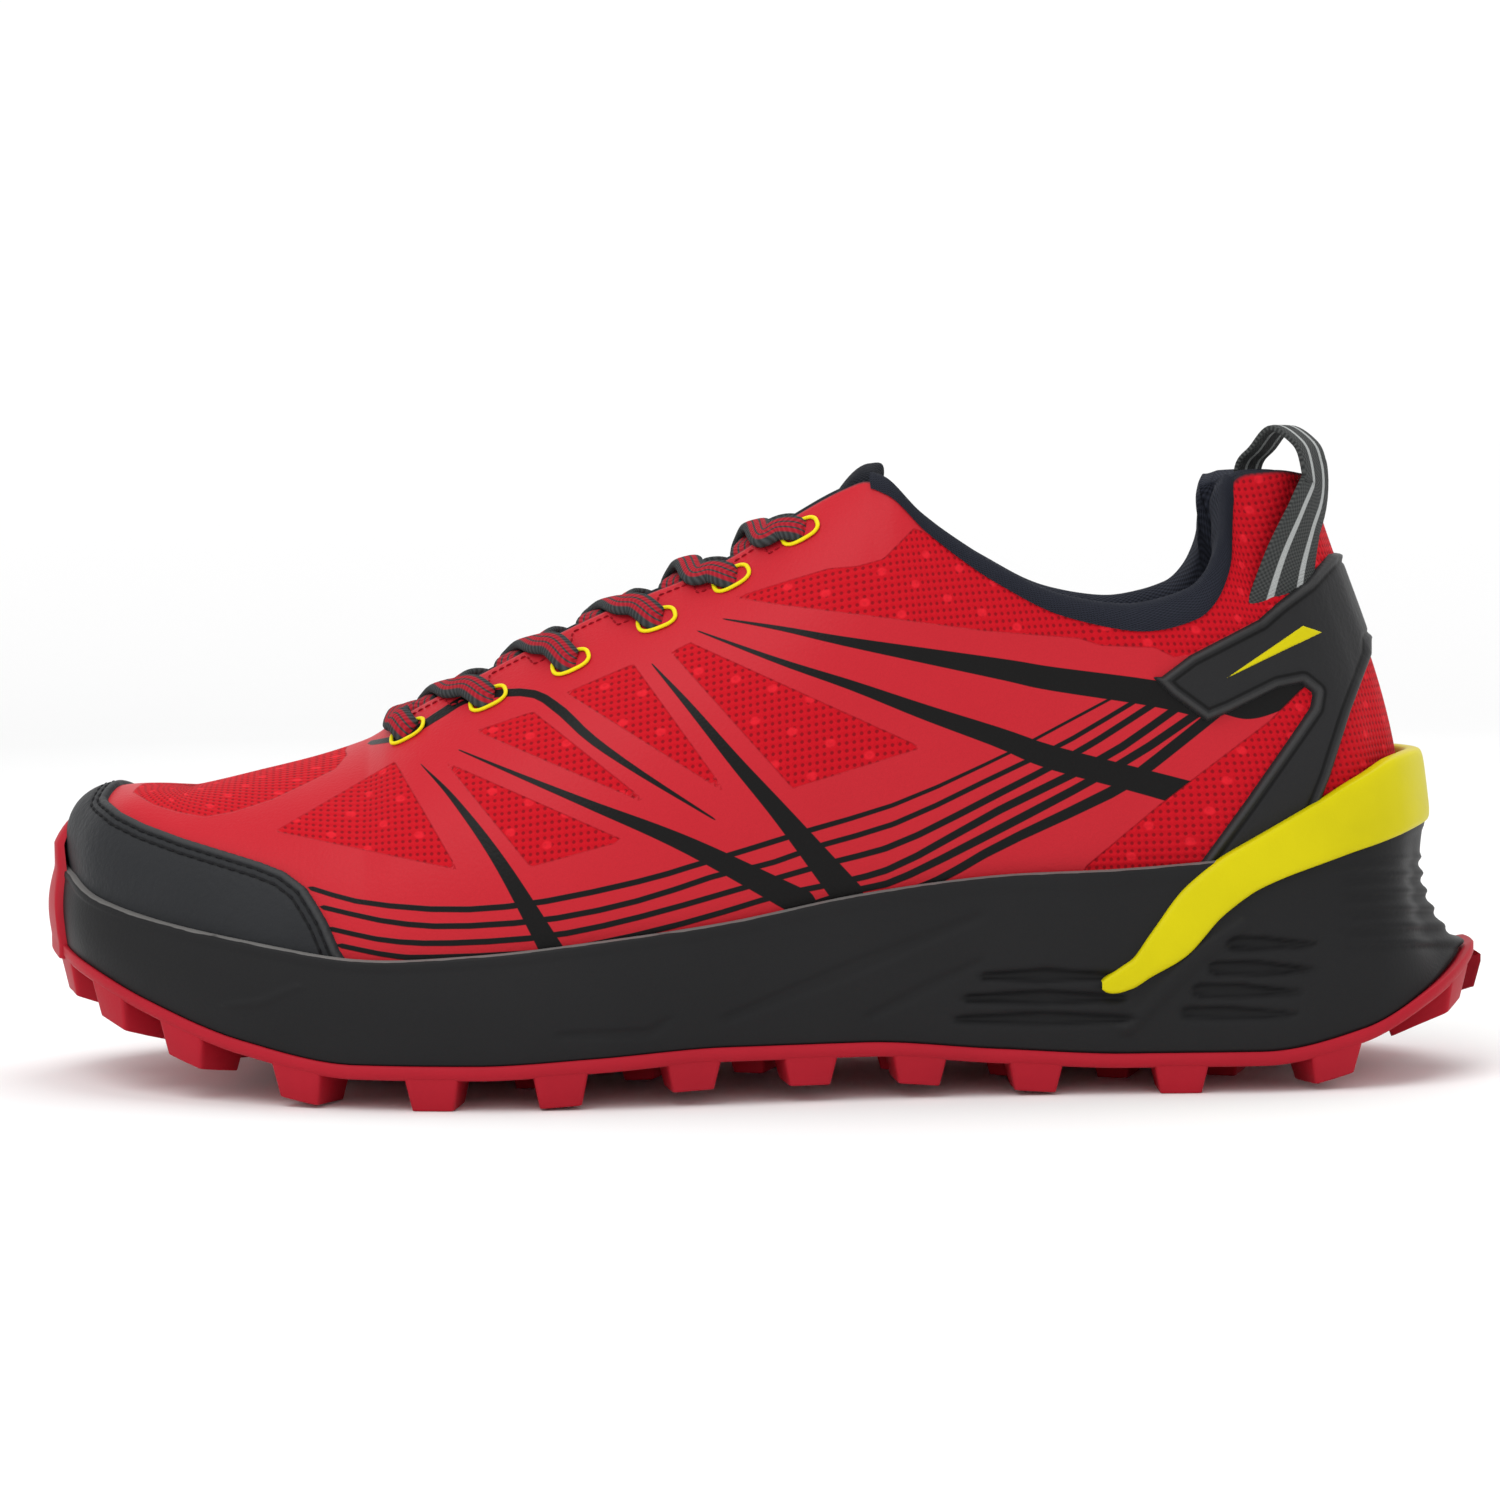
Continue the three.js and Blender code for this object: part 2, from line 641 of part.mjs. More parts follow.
/** The clip's band: it lies on the midsole's side and stands up behind the heel. */
function clipBand(grow) {
  const edge = (name) => steadyCurve(CLIP_EDGE.at, CLIP_EDGE[name].map((v) => v * SOLE_HEIGHT));
  const [low, high] = [edge("low"), edge("high")];
  const start = CLIP_EDGE.at[0] - 0.03 * grow;
  const count = 15;
  const rows = 5;
  const places = Array.from({ length: 2 * count + 1 }, (_, i) => {
    const t = i / count - 1;
    return ROWS + (ROWS - start) * Math.sign(t) * Math.abs(t) ** 1.15;
  });
  const sheet = (depth) =>
    places.map((place) =>
      Array.from({ length: rows + 1 }, (_, i) => {
        const z = mix(low(rowOf(place)) - grow, high(rowOf(place)) + grow, i / rows);
        const base = bottomAt(outlineX(place));
        const climb = 0.12 * Math.max(0, z - rimAt(place));
        return sidePoint(place, (z - base) / (rimAt(place) - base), CLIP_PROUD - depth - climb);
      }),
    );
  return wallBetween(sheet(-2 * grow), sheet(CLIP_THICKNESS + grow));
}

/** One block of tread: a tapered box that starts inside the rubber sheet. */
function lug(centre, along, across, length, depth) {
  const corners = (drop, shrink) =>
    [
      [-1, -1],
      [1, -1],
      [1, 1],
      [-1, 1],
    ].map(([a, b]) => {
      const p = centre
        .clone()
        .addScaledVector(along, a * (length / 2 - shrink))
        .addScaledVector(across, b * (depth / 2 - shrink));
      p.z = bottomAt(clamp(p.x, xOf(0.015), xOf(0.992))) - drop;
      return p;
    });
  const share = centre.x / SOLE_LENGTH + 0.5;
  const height = LUG_HEIGHT * mix(1, HEEL_LUG_SHARE, ease((share - 0.38) / 0.08));
  return solidOf(tubeOf([corners(TREAD_BASE + height, LUG_DRAFT), corners(TREAD_BASE / 2, 0)]));
}

/** The lugs: blocks round the edge, slanted pairs down the middle. */
function lugs() {
  const blocks = [];
  const edgeRows = EDGE_LUGS.map((share) => rowAt(xOf(share)));
  [...TOE_LUGS, ...edgeRows, ...HEEL_LUGS].forEach((row) =>
    [row, LOOP - row].forEach((place) => {
      const out = outwardAt(place);
      const along = new THREE.Vector3(out.y, -out.x, 0);
      const proud = row === ROWS ? 2.1 : 0.6;
      const centre = edgePoint(place, LUG_DEPTH / 2 - proud, 0);
      blocks.push(lug(centre, along, out, LUG_LENGTH, LUG_DEPTH));
    }),
  );
  CENTRE_LUGS.forEach((share) => {
    const x = xOf(share);
    const wide = widthAt(share) * (CENTRE_LUG_WIDTH / BALL_WIDTH);
    [-1, 1].forEach((side) => {
      const turn = radians(18 * side);
      const along = new THREE.Vector3(Math.cos(turn), Math.sin(turn), 0);
      const across = new THREE.Vector3(-along.y, along.x, 0);
      const centre = new THREE.Vector3(x, middleAt(x) + side * (wide / 2 + 2), 0);
      blocks.push(lug(centre, along, across, CENTRE_LUG_LENGTH, wide));
    });
  });
  return blocks;
}

/** Rubber turned up over the toe, in front of the midsole and the toe cap. */
function toeBumper(cap) {
  const reach = BUMPER_REACH;
  const places = Array.from({ length: 13 }, (_, i) => mix(-reach, reach, i / 12));
  const sheet = (proud) =>
    places.map((place) => {
      const base = bottomAt(outlineX(place));
      const rim = rimAt(place);
      const top = mix(BUMPER_TOP, base + 4, Math.abs(place / reach) ** 1.7);
      return Array.from({ length: 8 }, (_, i) => {
        const z = mix(base - TREAD_BASE, top, i / 7);
        const back = 0.9 * Math.max(0, z - rim - 5) ** 1.1 * (BUMPER_TOP / 110);
        return sidePoint(place, (z - base) / (rim - base), proud - back);
      });
    });
  return solidOf(wallBetween(sheet(BUMPER), sheet(-1.5))).subtract(cap);
}

/** The outsole: a rubber sheet under the midsole with its lugs, cut level with the floor. */
function outsole(cap, foam) {
  const sections = stations.map((place) => [
    centrePoint(place, (x) => bottomAt(x) - TREAD_BASE),
    levelPoint(place, 14, bottomAt, -TREAD_BASE),
    levelPoint(place, 0, bottomAt, -TREAD_BASE),
    levelPoint(place, -0.4, bottomAt, 1),
    levelPoint(place, 14, bottomAt, 1),
    centrePoint(place, (x) => bottomAt(x) + 1),
  ]);
  const joined = wasm.Manifold.union([solidOf(bodyOf(sections)), ...lugs(), toeBumper(cap)]);
  return largest(joined.subtract(foam).trimByPlane([0, 0, 1], 0));
}

/** The sock liner on the bed of the sole, inside the upper. */
function insole() {
  const inset = (place) => cupInset(place) + 2 * GAP + WALL;
  const ring = (place, more, rise) => levelPoint(place, inset(place) + more, bedAt, rise);
  const top = GAP + INSOLE;
  return bodyOf(
    stations.map((place) => [
      centrePoint(place, (x) => bedAt(x) + GAP, 40),
      ring(place, 8, GAP),
      ring(place, 1.2, 2 * GAP),
      ring(place, 0.9, top),
      ring(place, 9, top - 1.2),
      centrePoint(place, (x) => bedAt(x) + top - 1.2, 40),
    ]),
  );
}

// The upper and what is sewn on it

/** Places on the loop where the upper has a rib: closer together where its top line bends. */
function ribPlaces() {
  const rows = [];
  TOP_LINE.at.slice(1).forEach((end, i) => {
    const start = TOP_LINE.at[i];
    const parts = Math.ceil((end - start) / 0.62);
    for (let k = 0; k < parts; k++) rows.push(mix(start, end, k / parts));
  });
  const back = [ROWS, ...rows.slice(1).reverse()].map((row) => LOOP - row);
  return [...rows, ...back];
}

const upperGrid = (places, rows, from = () => 0, to = () => 1) =>
  places.map((place) =>
    Array.from({ length: rows + 1 }, (_, i) =>
      upperPoint(place, mix(from(place), to(place), i / rows)),
    ),
  );

const ribs = ribPlaces();
const upperSurface = upperGrid(ribs, UPPER_ROWS);

/** The whole upper between two offsets of its outer surface. */
const upperForm = (outer, inner) =>
  solidOf(
    wallBetween(
      offsetGrid(upperSurface, outer, true),
      offsetGrid(upperSurface, inner, true),
      true,
    ),
  );

const eyeletPlaces = LACE_ROWS.flatMap((row) => [row, LOOP - row]);
const eyeletShare = (place) =>
  EYELET_SHARES[LACE_ROWS.findIndex((row) => Math.abs(row - rowOf(place)) < 1e-6)];

/** Turns a piece made along +Z round the origin to stand on the upper at an eyelet. */
function onUpper(geometry, place, lift) {
  const share = eyeletShare(place);
  const normal = upperNormal(place, share);
  const turn = new THREE.Quaternion().setFromUnitVectors(new THREE.Vector3(0, 0, 1), normal);
  const at = upperPoint(place, share).addScaledVector(normal, lift);
  return geometry.clone().applyMatrix4(
    new THREE.Matrix4().compose(at, turn, new THREE.Vector3(1, 1, 1)),
  );
}

function upper() {
  const drill = new THREE.CylinderGeometry(EYELET_HOLE, EYELET_HOLE, 4 * WALL, 8);
  drill.rotateX(Math.PI / 2);
  const holes = eyeletPlaces.map((place) => solidOf(onUpper(drill, place, -WALL / 2)));
  return largest(upperForm(0, -WALL).subtract(wasm.Manifold.union(holes)));
}

/** A lace eyelet: a flange on the upper and a barrel through its hole. */
function eyelet(place) {
  const barrel = EYELET_HOLE - GAP;
  const profile = [
    [EYELET_BORE, -WALL],
    [barrel, -WALL],
    [barrel, 2 * GAP],
    [EYELET_FLANGE, 2 * GAP],
    [EYELET_FLANGE - 0.6, EYELET_RISE],
    [EYELET_BORE, EYELET_RISE],
    [EYELET_BORE, -WALL],
  ].map(([r, z]) => new THREE.Vector2(r, z));
  const ring = new THREE.LatheGeometry(profile, 8);
  ring.rotateX(Math.PI / 2);
  return onUpper(ring, place, 0);
}

/** A prism across the shoe from an outline drawn in side view: shares of length and height. */
function sideCutter(outline) {
  const shape = new THREE.Shape(
    outline.map(([x, z]) => new THREE.Vector2(x * SOLE_LENGTH, z * COLLAR_HEIGHT)),
  );
  const cutter = new THREE.ExtrudeGeometry(shape, { depth: 2 * BALL_WIDTH, bevelEnabled: false });
  cutter.rotateX(Math.PI / 2);
  cutter.translate(0, BALL_WIDTH, 0);
  return solidOf(cutter);
}

/** A piece of the layer that lies on the upper, inside a side-view outline. */
const overlay = (layer, outline, keepOut) =>
  largest(layer.intersect(sideCutter(outline)).subtract(keepOut));

/** Padded collar: a pad inside the upper whose rounded edge stands above the upper's. */
function collar(keepOut) {
  const places = ribs.filter((place) => rowOf(place) > LACED_TO);
  const rise = (row) => BINDING * mix(1, 0.2, ease((row - 13.1) / 0.6));
  const sections = places.map((place) => {
    const top = topPoint(place);
    const reach = top.distanceTo(footPoint(place));
    const up = ribDirection(place, 0.985);
    const out = upperNormal(place, 0.97);
    const at = (depth, lift) =>
      top.clone().addScaledVector(out, -depth).addScaledVector(up, lift);
    const lower = (share, depth) =>
      upperPoint(place, share).addScaledVector(upperNormal(place, share), -depth);
    const down = 1 - Math.min(0.42, PADDING_DEPTH / reach);
    const height = rise(rowOf(place));
    const padding = mix(PADDING, PADDING_BACK, ease((rowOf(place) - 11.5) / 1.2));
    const inside = WALL + 2 * GAP;
    return [
      at(0.4, 2 * GAP),
      at(0.1, 0.55 * height + GAP),
      at(1.4, height),
      at(inside + 0.6, height + 0.5),
      at(inside + padding - 1, 0.6 * height),
      at(inside + padding, -2),
      lower(mix(down, 1, 0.5), inside + padding - 0.5),
      lower(down, inside + 1.5),
      lower(down, inside),
      lower(mix(down, 1, 0.5), inside),
      at(inside, -1),
      at(inside, 2 * GAP),
    ];
  });
  return solidOf(tubeOf(sections.reverse())).subtract(keepOut);
}

/** The tongue: it lies against the inside of the upper, arches over the throat and ends in a tip. */
function tongue() {
  const clearance = WALL + 1.3;
  const shares = [0.74, 0.82, 0.9, 0.97];
  const lay = (place, depth) =>
    shares.map((share) =>
      upperPoint(place, share).addScaledVector(upperNormal(place, share), -depth),
    );
  const across = (row, thick) => {
    const near = lay(row, clearance + thick);
    const far = lay(LOOP - row, clearance + thick).reverse();
    const [a, b] = [near[near.length - 1], far[0]];
    const bulge = 0.16 * a.distanceTo(b) * (row > CLOSED_TO ? 1 : 0);
    const arch = [0.17, 0.5, 0.83].map((t) => {
      const p = a.clone().lerp(b, t);
      p.z += bulge * 4 * t * (1 - t);
      return p;
    });
    return [...near, ...arch, ...far];
  };
  const rows = [4.75, 5.1, 5.5, 6, 6.5, 7, 7.5, 8, 8.5, 8.8];
  const sheet = (thickAt) => {
    const made = rows.map((row) => across(row, thickAt(row)));
    const last = made[made.length - 1];
    const centre = last[Math.floor(last.length / 2)];
    [0.35, 0.7, 0.92, 1].forEach((t) => {
      const narrow = 1 - 0.44 * ease(t / 0.55);
      made.push(
        last.map((p) => {
          const q = p.clone();
          q.y = centre.y + (p.y - centre.y) * narrow;
          q.z = mix(q.z, Math.max(q.z, centre.z - 6), t) + TIP_RISE * t;
          q.x += TIP_REACH * t - 0.15 * Math.abs(p.y - centre.y) * t;
          return q;
        }),
      );
    });
    return made;
  };
  const padding = (row) => mix(TONGUE_THIN, TONGUE_PADDED, ease((row - 7) / 1.5));
  return largest(solidOf(wallBetween(sheet(() => 0), sheet(padding))));
}

/** A flat-oval cord along points, its wide side square to the given facing directions. */
function cordAlong(points, facing) {
  const corners = 4;
  const rings = points.map((p, i) => {
    const ahead = points[Math.min(i + 1, points.length - 1)];
    const behind = points[Math.max(i - 1, 0)];
    const run = ahead.clone().sub(behind).normalize();
    const wide = run.clone().cross(facing[i]).normalize();
    const thick = wide.clone().cross(run);
    return Array.from({ length: corners }, (_, k) => {
      const a = (2 * Math.PI * (k + 0.5)) / corners;
      return p
        .clone()
        .addScaledVector(wide, (LACE_WIDTH / 2) * Math.cos(a))
        .addScaledVector(thick, (LACE_THICKNESS / 2) * Math.sin(a));
    });
  });
  return tubeOf(rings.reverse());
}

/** A lace's way from over one eyelet, across the throat, to the opening before another. */
function lacePath(from, to) {
  const lift = LACE_THICKNESS / 2 + EYELET_RISE + 1.1;
  const over = (place, share, rise) =>
    upperPoint(place, share).addScaledVector(upperNormal(place, share), rise);
  const start = over(from, eyeletShare(from) + 0.01, lift);
  const edge = over(from, 0.985, LACE_THICKNESS / 2 + 1.3);
  const end = topPoint(to);
  end.z += LACE_THICKNESS / 2 + 0.7;
  const middle = edge.clone().lerp(end, 0.5);
  middle.z += 2.6;
  const curve = new THREE.CatmullRomCurve3([start, edge, middle, end]);
  return curve.getPoints(6);
}

function laceBar(from, to) {
  const points = lacePath(from, to);
  const facing = points.map((_, i) => {
    const t = i / (points.length - 1);
    return upperNormal(from, 0.95).lerp(upperNormal(to, 0.95), t);
  });
  return solidOf(cordAlong(points, facing));
}

/** Crossed laces between two rows of eyelets, joined where they cross. */
function laceCross(row, next) {
  const end = mix(row, next, LACE_END);
  const pair = [laceBar(next, LOOP - end), laceBar(LOOP - next, end)];
  return wasm.Manifold.union(pair);
}

/** The first lace, straight across between the lowest eyelets. */
function laceFirst(row) {
  return wasm.Manifold.union([laceBar(row, LOOP - row), laceBar(LOOP - row, row)]);
}

/** The pull loop: webbing that climbs the back of the heel, turns over and goes inside the collar. */
function pullLoop(keepOut) {
  const place = ROWS - LOOP_TURN;
  const top = topPoint(place);
  const out = outwardAt(place);
  const inside = WALL + GAP + PADDING_BACK + GAP + LOOP_WEBBING;
  const shares = [0.72, 0.8, 0.88, 0.96];
  const slanted = (share) => place - LOOP_SLANT * ((0.96 - share) / 0.24);
  const facing = shares.map((share) => upperNormal(slanted(share), share));
  const outer = shares.map((share, i) =>
    upperPoint(slanted(share), share).addScaledVector(
      facing[i],
      GAP + LOOP_WEBBING + (i === 3 ? 0.5 : 0),
    ),
  );
  const above = (depth, rise) => {
    const p = top.clone().addScaledVector(out, -depth);
    p.z += rise;
    return p;
  };
  const over = [
    above(-2.4, 3),
    above(-0.6, LOOP_REACH - 2),
    above(inside / 2, LOOP_REACH + 1),
    above(inside - 0.5, LOOP_REACH - 3),
    above(inside + 2.6, 2),
    above(inside + 3, -8),
  ];
  const level = new THREE.Vector3(out.y, -out.x, 0);
  const up = outer[3].clone().sub(outer[0]).normalize();
  const across = facing.map((normal, i) =>
    normal.clone().cross(up).normalize().lerp(level, i / 3),
  );
  const centre = new THREE.CatmullRomCurve3([...outer, ...over]).getPoints(16);
  const widths = new THREE.CatmullRomCurve3([...across, ...over.map(() => level)]).getPoints(16);
  const rings = centre.map((p, i) => {
    const run = centre[Math.min(i + 1, 16)].clone().sub(centre[Math.max(i - 1, 0)]).normalize();
    const wide = widths[i].addScaledVector(run, -widths[i].dot(run)).normalize();
    const thick = wide.clone().cross(run).normalize();
    return [
      [-1, -1],
      [1, -1],
      [1, 1],
      [-1, 1],
    ].map(([a, b]) =>
      p
        .clone()
        .addScaledVector(wide, (a * LOOP_WIDTH) / 2)
        .addScaledVector(thick, (b * LOOP_WEBBING) / 2),
    );
  });
  return largest(solidOf(tubeOf(rings.reverse())).subtract(keepOut));
}

// The shoe

const shoe = new THREE.Group();
const clipCut = solidOf(clipBand(GAP));
const upperKeepOut = upperForm(GAP, -WALL - GAP);
const layer = upperForm(GAP + OVERLAY, GAP);
const foamKeepOut = midsoleForm(GAP);
const clip = solidOf(clipBand(0)).subtract(upperForm(GAP, -4 * WALL));
const cap = overlay(layer, CAP, foamKeepOut);
const counter = overlay(layer, COUNTER, foamKeepOut.add(clipCut));
const counterKeepOut = upperForm(2 * GAP + OVERLAY, -GAP).intersect(sideCutter(COUNTER));
const loopKeepOut = upperKeepOut.add(counterKeepOut);
const capKeepOut = upperForm(2 * GAP + OVERLAY, -WALL).intersect(sideCutter(CAP));
shoe.add(piece("outsole", geometryOf(outsole(capKeepOut, foamKeepOut)), RED_RUBBER));
shoe.add(piece("midsole", geometryOf(midsole(clipCut)), BLACK_FOAM));
shoe.add(piece("heel_clip", geometryOf(largest(clip)), YELLOW_CLIP));
shoe.add(piece("insole", insole(), BLACK_KNIT));
shoe.add(piece("upper", geometryOf(upper()), RED_MESH));
shoe.add(piece("toe_cap", geometryOf(cap), BLACK_COAT));
shoe.add(piece("heel_counter", geometryOf(counter), BLACK_COAT));
shoe.add(piece("collar_padding", geometryOf(collar(upperKeepOut)), BLACK_KNIT));
shoe.add(piece("tongue", geometryOf(tongue()), BLACK_KNIT));
shoe.add(piece("pull_loop", geometryOf(pullLoop(loopKeepOut)), BLACK_KNIT));
eyeletPlaces.forEach((place, i) => {
  const side = sideOf(place) < 0 ? "outer" : "inner";
  shoe.add(piece(`eyelet_${side}_${Math.floor(i / 2) + 1}`, eyelet(place), YELLOW_RING));
});
shoe.add(piece("lace_first", geometryOf(laceFirst(LACE_ROWS[0])), LACE_YARN));
LACE_ROWS.slice(1).forEach((next, i) => {
  const cross = geometryOf(laceCross(LACE_ROWS[i], next));
  shoe.add(piece(`lace_cross_${i + 1}`, cross, LACE_YARN));
});

// The part's origin is the middle of the ground under its outer box.
const outside = new THREE.Box3().setFromObject(shoe);
const middle = outside.getCenter(new THREE.Vector3());
shoe.position.set(-middle.x, -middle.y, -outside.min.z);

export default shoe;
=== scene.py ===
"""Looks for a left trail shoe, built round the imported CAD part.

Every piece is laid out in millimetres on the same last as the CAD solids (toe on -X, outer side on -Y,
ground at z = 0) and is turned to metres when its mesh is made.
"""

import logging
import math
from dataclasses import dataclass
from enum import Enum
from typing import Callable, Optional, Sequence, Union

import bmesh
import bpy
import numpy as np
from mathutils import Matrix, Vector

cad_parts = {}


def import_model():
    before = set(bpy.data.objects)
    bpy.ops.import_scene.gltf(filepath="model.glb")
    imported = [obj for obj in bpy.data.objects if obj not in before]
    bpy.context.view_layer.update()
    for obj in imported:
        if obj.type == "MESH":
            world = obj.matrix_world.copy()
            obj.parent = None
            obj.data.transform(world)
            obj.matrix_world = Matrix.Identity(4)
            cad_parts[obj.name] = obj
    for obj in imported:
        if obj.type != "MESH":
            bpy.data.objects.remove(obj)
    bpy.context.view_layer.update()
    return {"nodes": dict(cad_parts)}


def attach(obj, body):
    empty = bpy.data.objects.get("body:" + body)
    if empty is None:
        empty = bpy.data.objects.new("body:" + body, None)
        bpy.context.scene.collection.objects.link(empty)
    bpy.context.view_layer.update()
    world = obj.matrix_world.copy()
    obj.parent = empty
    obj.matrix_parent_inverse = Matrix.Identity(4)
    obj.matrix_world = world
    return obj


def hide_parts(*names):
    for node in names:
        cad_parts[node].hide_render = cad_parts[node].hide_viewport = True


LOG = logging.getLogger("shoe")
MM = 0.001
SHIFT = np.array([0.1277, -0.1902, 0.0])  # from the last's own frame to the part's frame, mm
WELD = 2e-6  # vertices closer than this many metres are joined

# Sizes of the last, in millimetres, as in the CAD part
SOLE_LENGTH = 298.0
BALL_WIDTH = 108.0
HEEL_WIDTH = 78.0
SOLE_HEIGHT = 52.0
COLLAR_HEIGHT = 124.0
GAP = 0.3
WALL = 2.5
RIM = 3.2
RIM_BACK = 5.0
TREAD_BASE = 2.8
LUG_HEIGHT = 6.4
HEEL_LUG_SHARE = 0.88
LUG_LENGTH = 11.0
LUG_DEPTH = 15.0
LUG_DRAFT = 1.2
BUMPER = 1.8
BUMPER_TOP = 55.0
BUMPER_REACH = 1.1
CLIP_THICKNESS = 3.4
CLIP_PROUD = 0.9
OVERLAY = 1.2
BINDING = 3.8
PADDING = 5.0
PADDING_BACK = 9.0
PADDING_DEPTH = 30.0
TONGUE_THIN = 2.6
TONGUE_PADDED = 5.5
TIP_REACH = 9.5
TIP_RISE = 9.2
LOOP_WIDTH = 15.0
LOOP_WEBBING = 1.4
LOOP_TURN = 1.15
LOOP_SLANT = 1.15
LOOP_REACH = 9.0

# Sole sections from toe to heel: share of the length, then shares of the width there (lateral, medial)
# and of SOLE_HEIGHT (bottom, rim, bed); inset is the rim's lean as a share of HEEL_WIDTH.
SECTIONS = np.array([
    [0.0, 0.111, 0.111, 0.577, 0.846, 0.74, 0.012],
    [0.012, -0.02, 0.222, 0.548, 0.825, 0.73, 0.012],
    [0.035, -0.15, 0.315, 0.498, 0.757, 0.67, 0.012],
    [0.08, -0.27, 0.412, 0.39, 0.687, 0.555, 0.03],
    [0.15, -0.38, 0.48, 0.254, 0.621, 0.452, 0.036],
    [0.23, -0.458, 0.495, 0.176, 0.565, 0.394, 0.032],
    [0.31, -0.491, 0.458, 0.175, 0.583, 0.394, 0.032],
    [0.39, -0.486, 0.389, 0.198, 0.629, 0.423, 0.032],
    [0.48, -0.45, 0.321, 0.227, 0.692, 0.471, 0.032],
    [0.57, -0.438, 0.314, 0.227, 0.785, 0.529, 0.036],
    [0.66, -0.459, 0.369, 0.188, 0.844, 0.577, 0.041],
    [0.75, -0.496, 0.46, 0.161, 0.862, 0.606, 0.054],
    [0.84, -0.5, 0.494, 0.161, 0.904, 0.615, 0.07],
    [0.91, -0.449, 0.451, 0.238, 0.962, 0.615, 0.09],
    [0.96, -0.34, 0.346, 0.375, 0.99, 0.615, 0.108],
    [0.99, -0.167, 0.167, 0.47, 1.0, 0.615, 0.118],
    [1.0, 0.0, 0.0, 0.51, 1.0, 0.615, 0.12],
])
ALONG, LATERAL, MEDIAL, BOTTOM, RIM_HEIGHT, BED, INSET = SECTIONS.T
ROWS = len(SECTIONS) - 1
LOOP = 2 * ROWS
EDGE_SHARE = 0.985  # share of a rib just below its end, where directions are read
CLOSED_TO = 5.0
LACED_TO = 9.15

# Top line of the upper: row of the section, share of the length, middle and half width as shares of
# BALL_WIDTH, height as a share of COLLAR_HEIGHT, slope from upright in degrees, handles and lean.
TOP_LINE = np.array([
    [0, 0.1, 0.083, 0, 0.489, 96, 0.6, 0.7, 14],
    [3, 0.1, 0.083, 0, 0.489, 93, 0.5, 0.46, 8],
    [4, 0.144, 0.069, 0, 0.515, 89, 0.42, 0.42, 6],
    [4.6, 0.191, 0.046, 0, 0.543, 86, 0.4, 0.4, 6],
    [5, 0.225, 0.032, 0, 0.57, 80, 0.4, 0.36, 6],
    [5.12, 0.231, 0.028, 0.028, 0.577, 77, 0.4, 0.35, 6],
    [5.3, 0.242, 0.023, 0.069, 0.595, 72, 0.4, 0.33, 6],
    [5.6, 0.267, 0.014, 0.088, 0.631, 66, 0.4, 0.31, 6],
    [6, 0.305, 0.005, 0.093, 0.677, 61, 0.42, 0.29, 6],
    [7, 0.389, 0, 0.102, 0.777, 57, 0.44, 0.27, 6],
    [8, 0.4765, 0, 0.116, 0.863, 56, 0.45, 0.26, 6],
    [8.6, 0.527, 0, 0.13, 0.938, 52, 0.46, 0.26, 6],
    [9, 0.562, 0, 0.148, 0.982, 45, 0.46, 0.26, 5],
    [9.15, 0.576, 0, 0.162, 0.993, 38, 0.46, 0.26, 5],
    [9.35, 0.59, 0, 0.19, 0.982, 30, 0.46, 0.26, 5],
    [9.7, 0.617, 0, 0.222, 0.919, 24, 0.46, 0.26, 5],
    [10.2, 0.663, 0, 0.245, 0.838, 18, 0.46, 0.28, 4],
    [10.8, 0.711, 0, 0.255, 0.781, 14, 0.46, 0.3, 4],
    [11.3, 0.762, 0, 0.255, 0.757, 13, 0.46, 0.3, 4],
    [11.9, 0.8, 0, 0.245, 0.777, 13, 0.46, 0.3, 4],
    [12.3, 0.817, 0, 0.234, 0.823, 12, 0.46, 0.28, 4],
    [12.7, 0.8235, 0, 0.227, 0.879, 11, 0.46, 0.26, 4],
    [13.1, 0.8245, 0, 0.222, 0.944, 10, 0.46, 0.26, 4],
    [13.35, 0.8275, 0, 0.218, 0.984, 10, 0.46, 0.26, 4],
    [13.7, 0.8385, 0, 0.209, 0.997, 11, 0.46, 0.26, 4],
    [14.3, 0.8615, 0, 0.171, 1.0, 11, 0.46, 0.26, 4],
    [15, 0.8805, 0, 0.102, 0.996, 13, 0.44, 0.28, 7],
    [16, 0.889, 0, 0, 0.994, 14, 0.42, 0.28, 8],
])

# Heel clip: row, low and high edge as shares of SOLE_HEIGHT
CLIP_EDGE = np.array([
    [10.78, 0.385, 0.47],
    [11.0, 0.41, 0.52],
    [11.15, 0.455, 0.62],
    [11.4, 0.53, 0.79],
    [11.7, 0.69, 0.91],
    [12.0, 0.785, 0.985],
    [12.5, 0.86, 1.09],
    [13.2, 0.925, 1.2],
    [14, 0.965, 1.27],
    [15, 0.99, 1.285],
    [16, 1.0, 1.285],
])
EDGE_LUGS = (0.052, 0.107, 0.189, 0.281, 0.367, 0.4555, 0.5335, 0.607, 0.6855, 0.784, 0.89)
HEEL_LUGS = (14.7, 16.0)
TOE_LUGS = (1.15,)
CENTRE_LUGS = (0.13, 0.2, 0.275, 0.35, 0.425, 0.5, 0.6, 0.675, 0.75, 0.825, 0.9)
LACE_ROWS = (5.475, 6.108, 6.809, 7.496, 8.084, 8.642)
EYELET_SHARES = (0.884, 0.852, 0.837, 0.867, 0.905, 0.93)

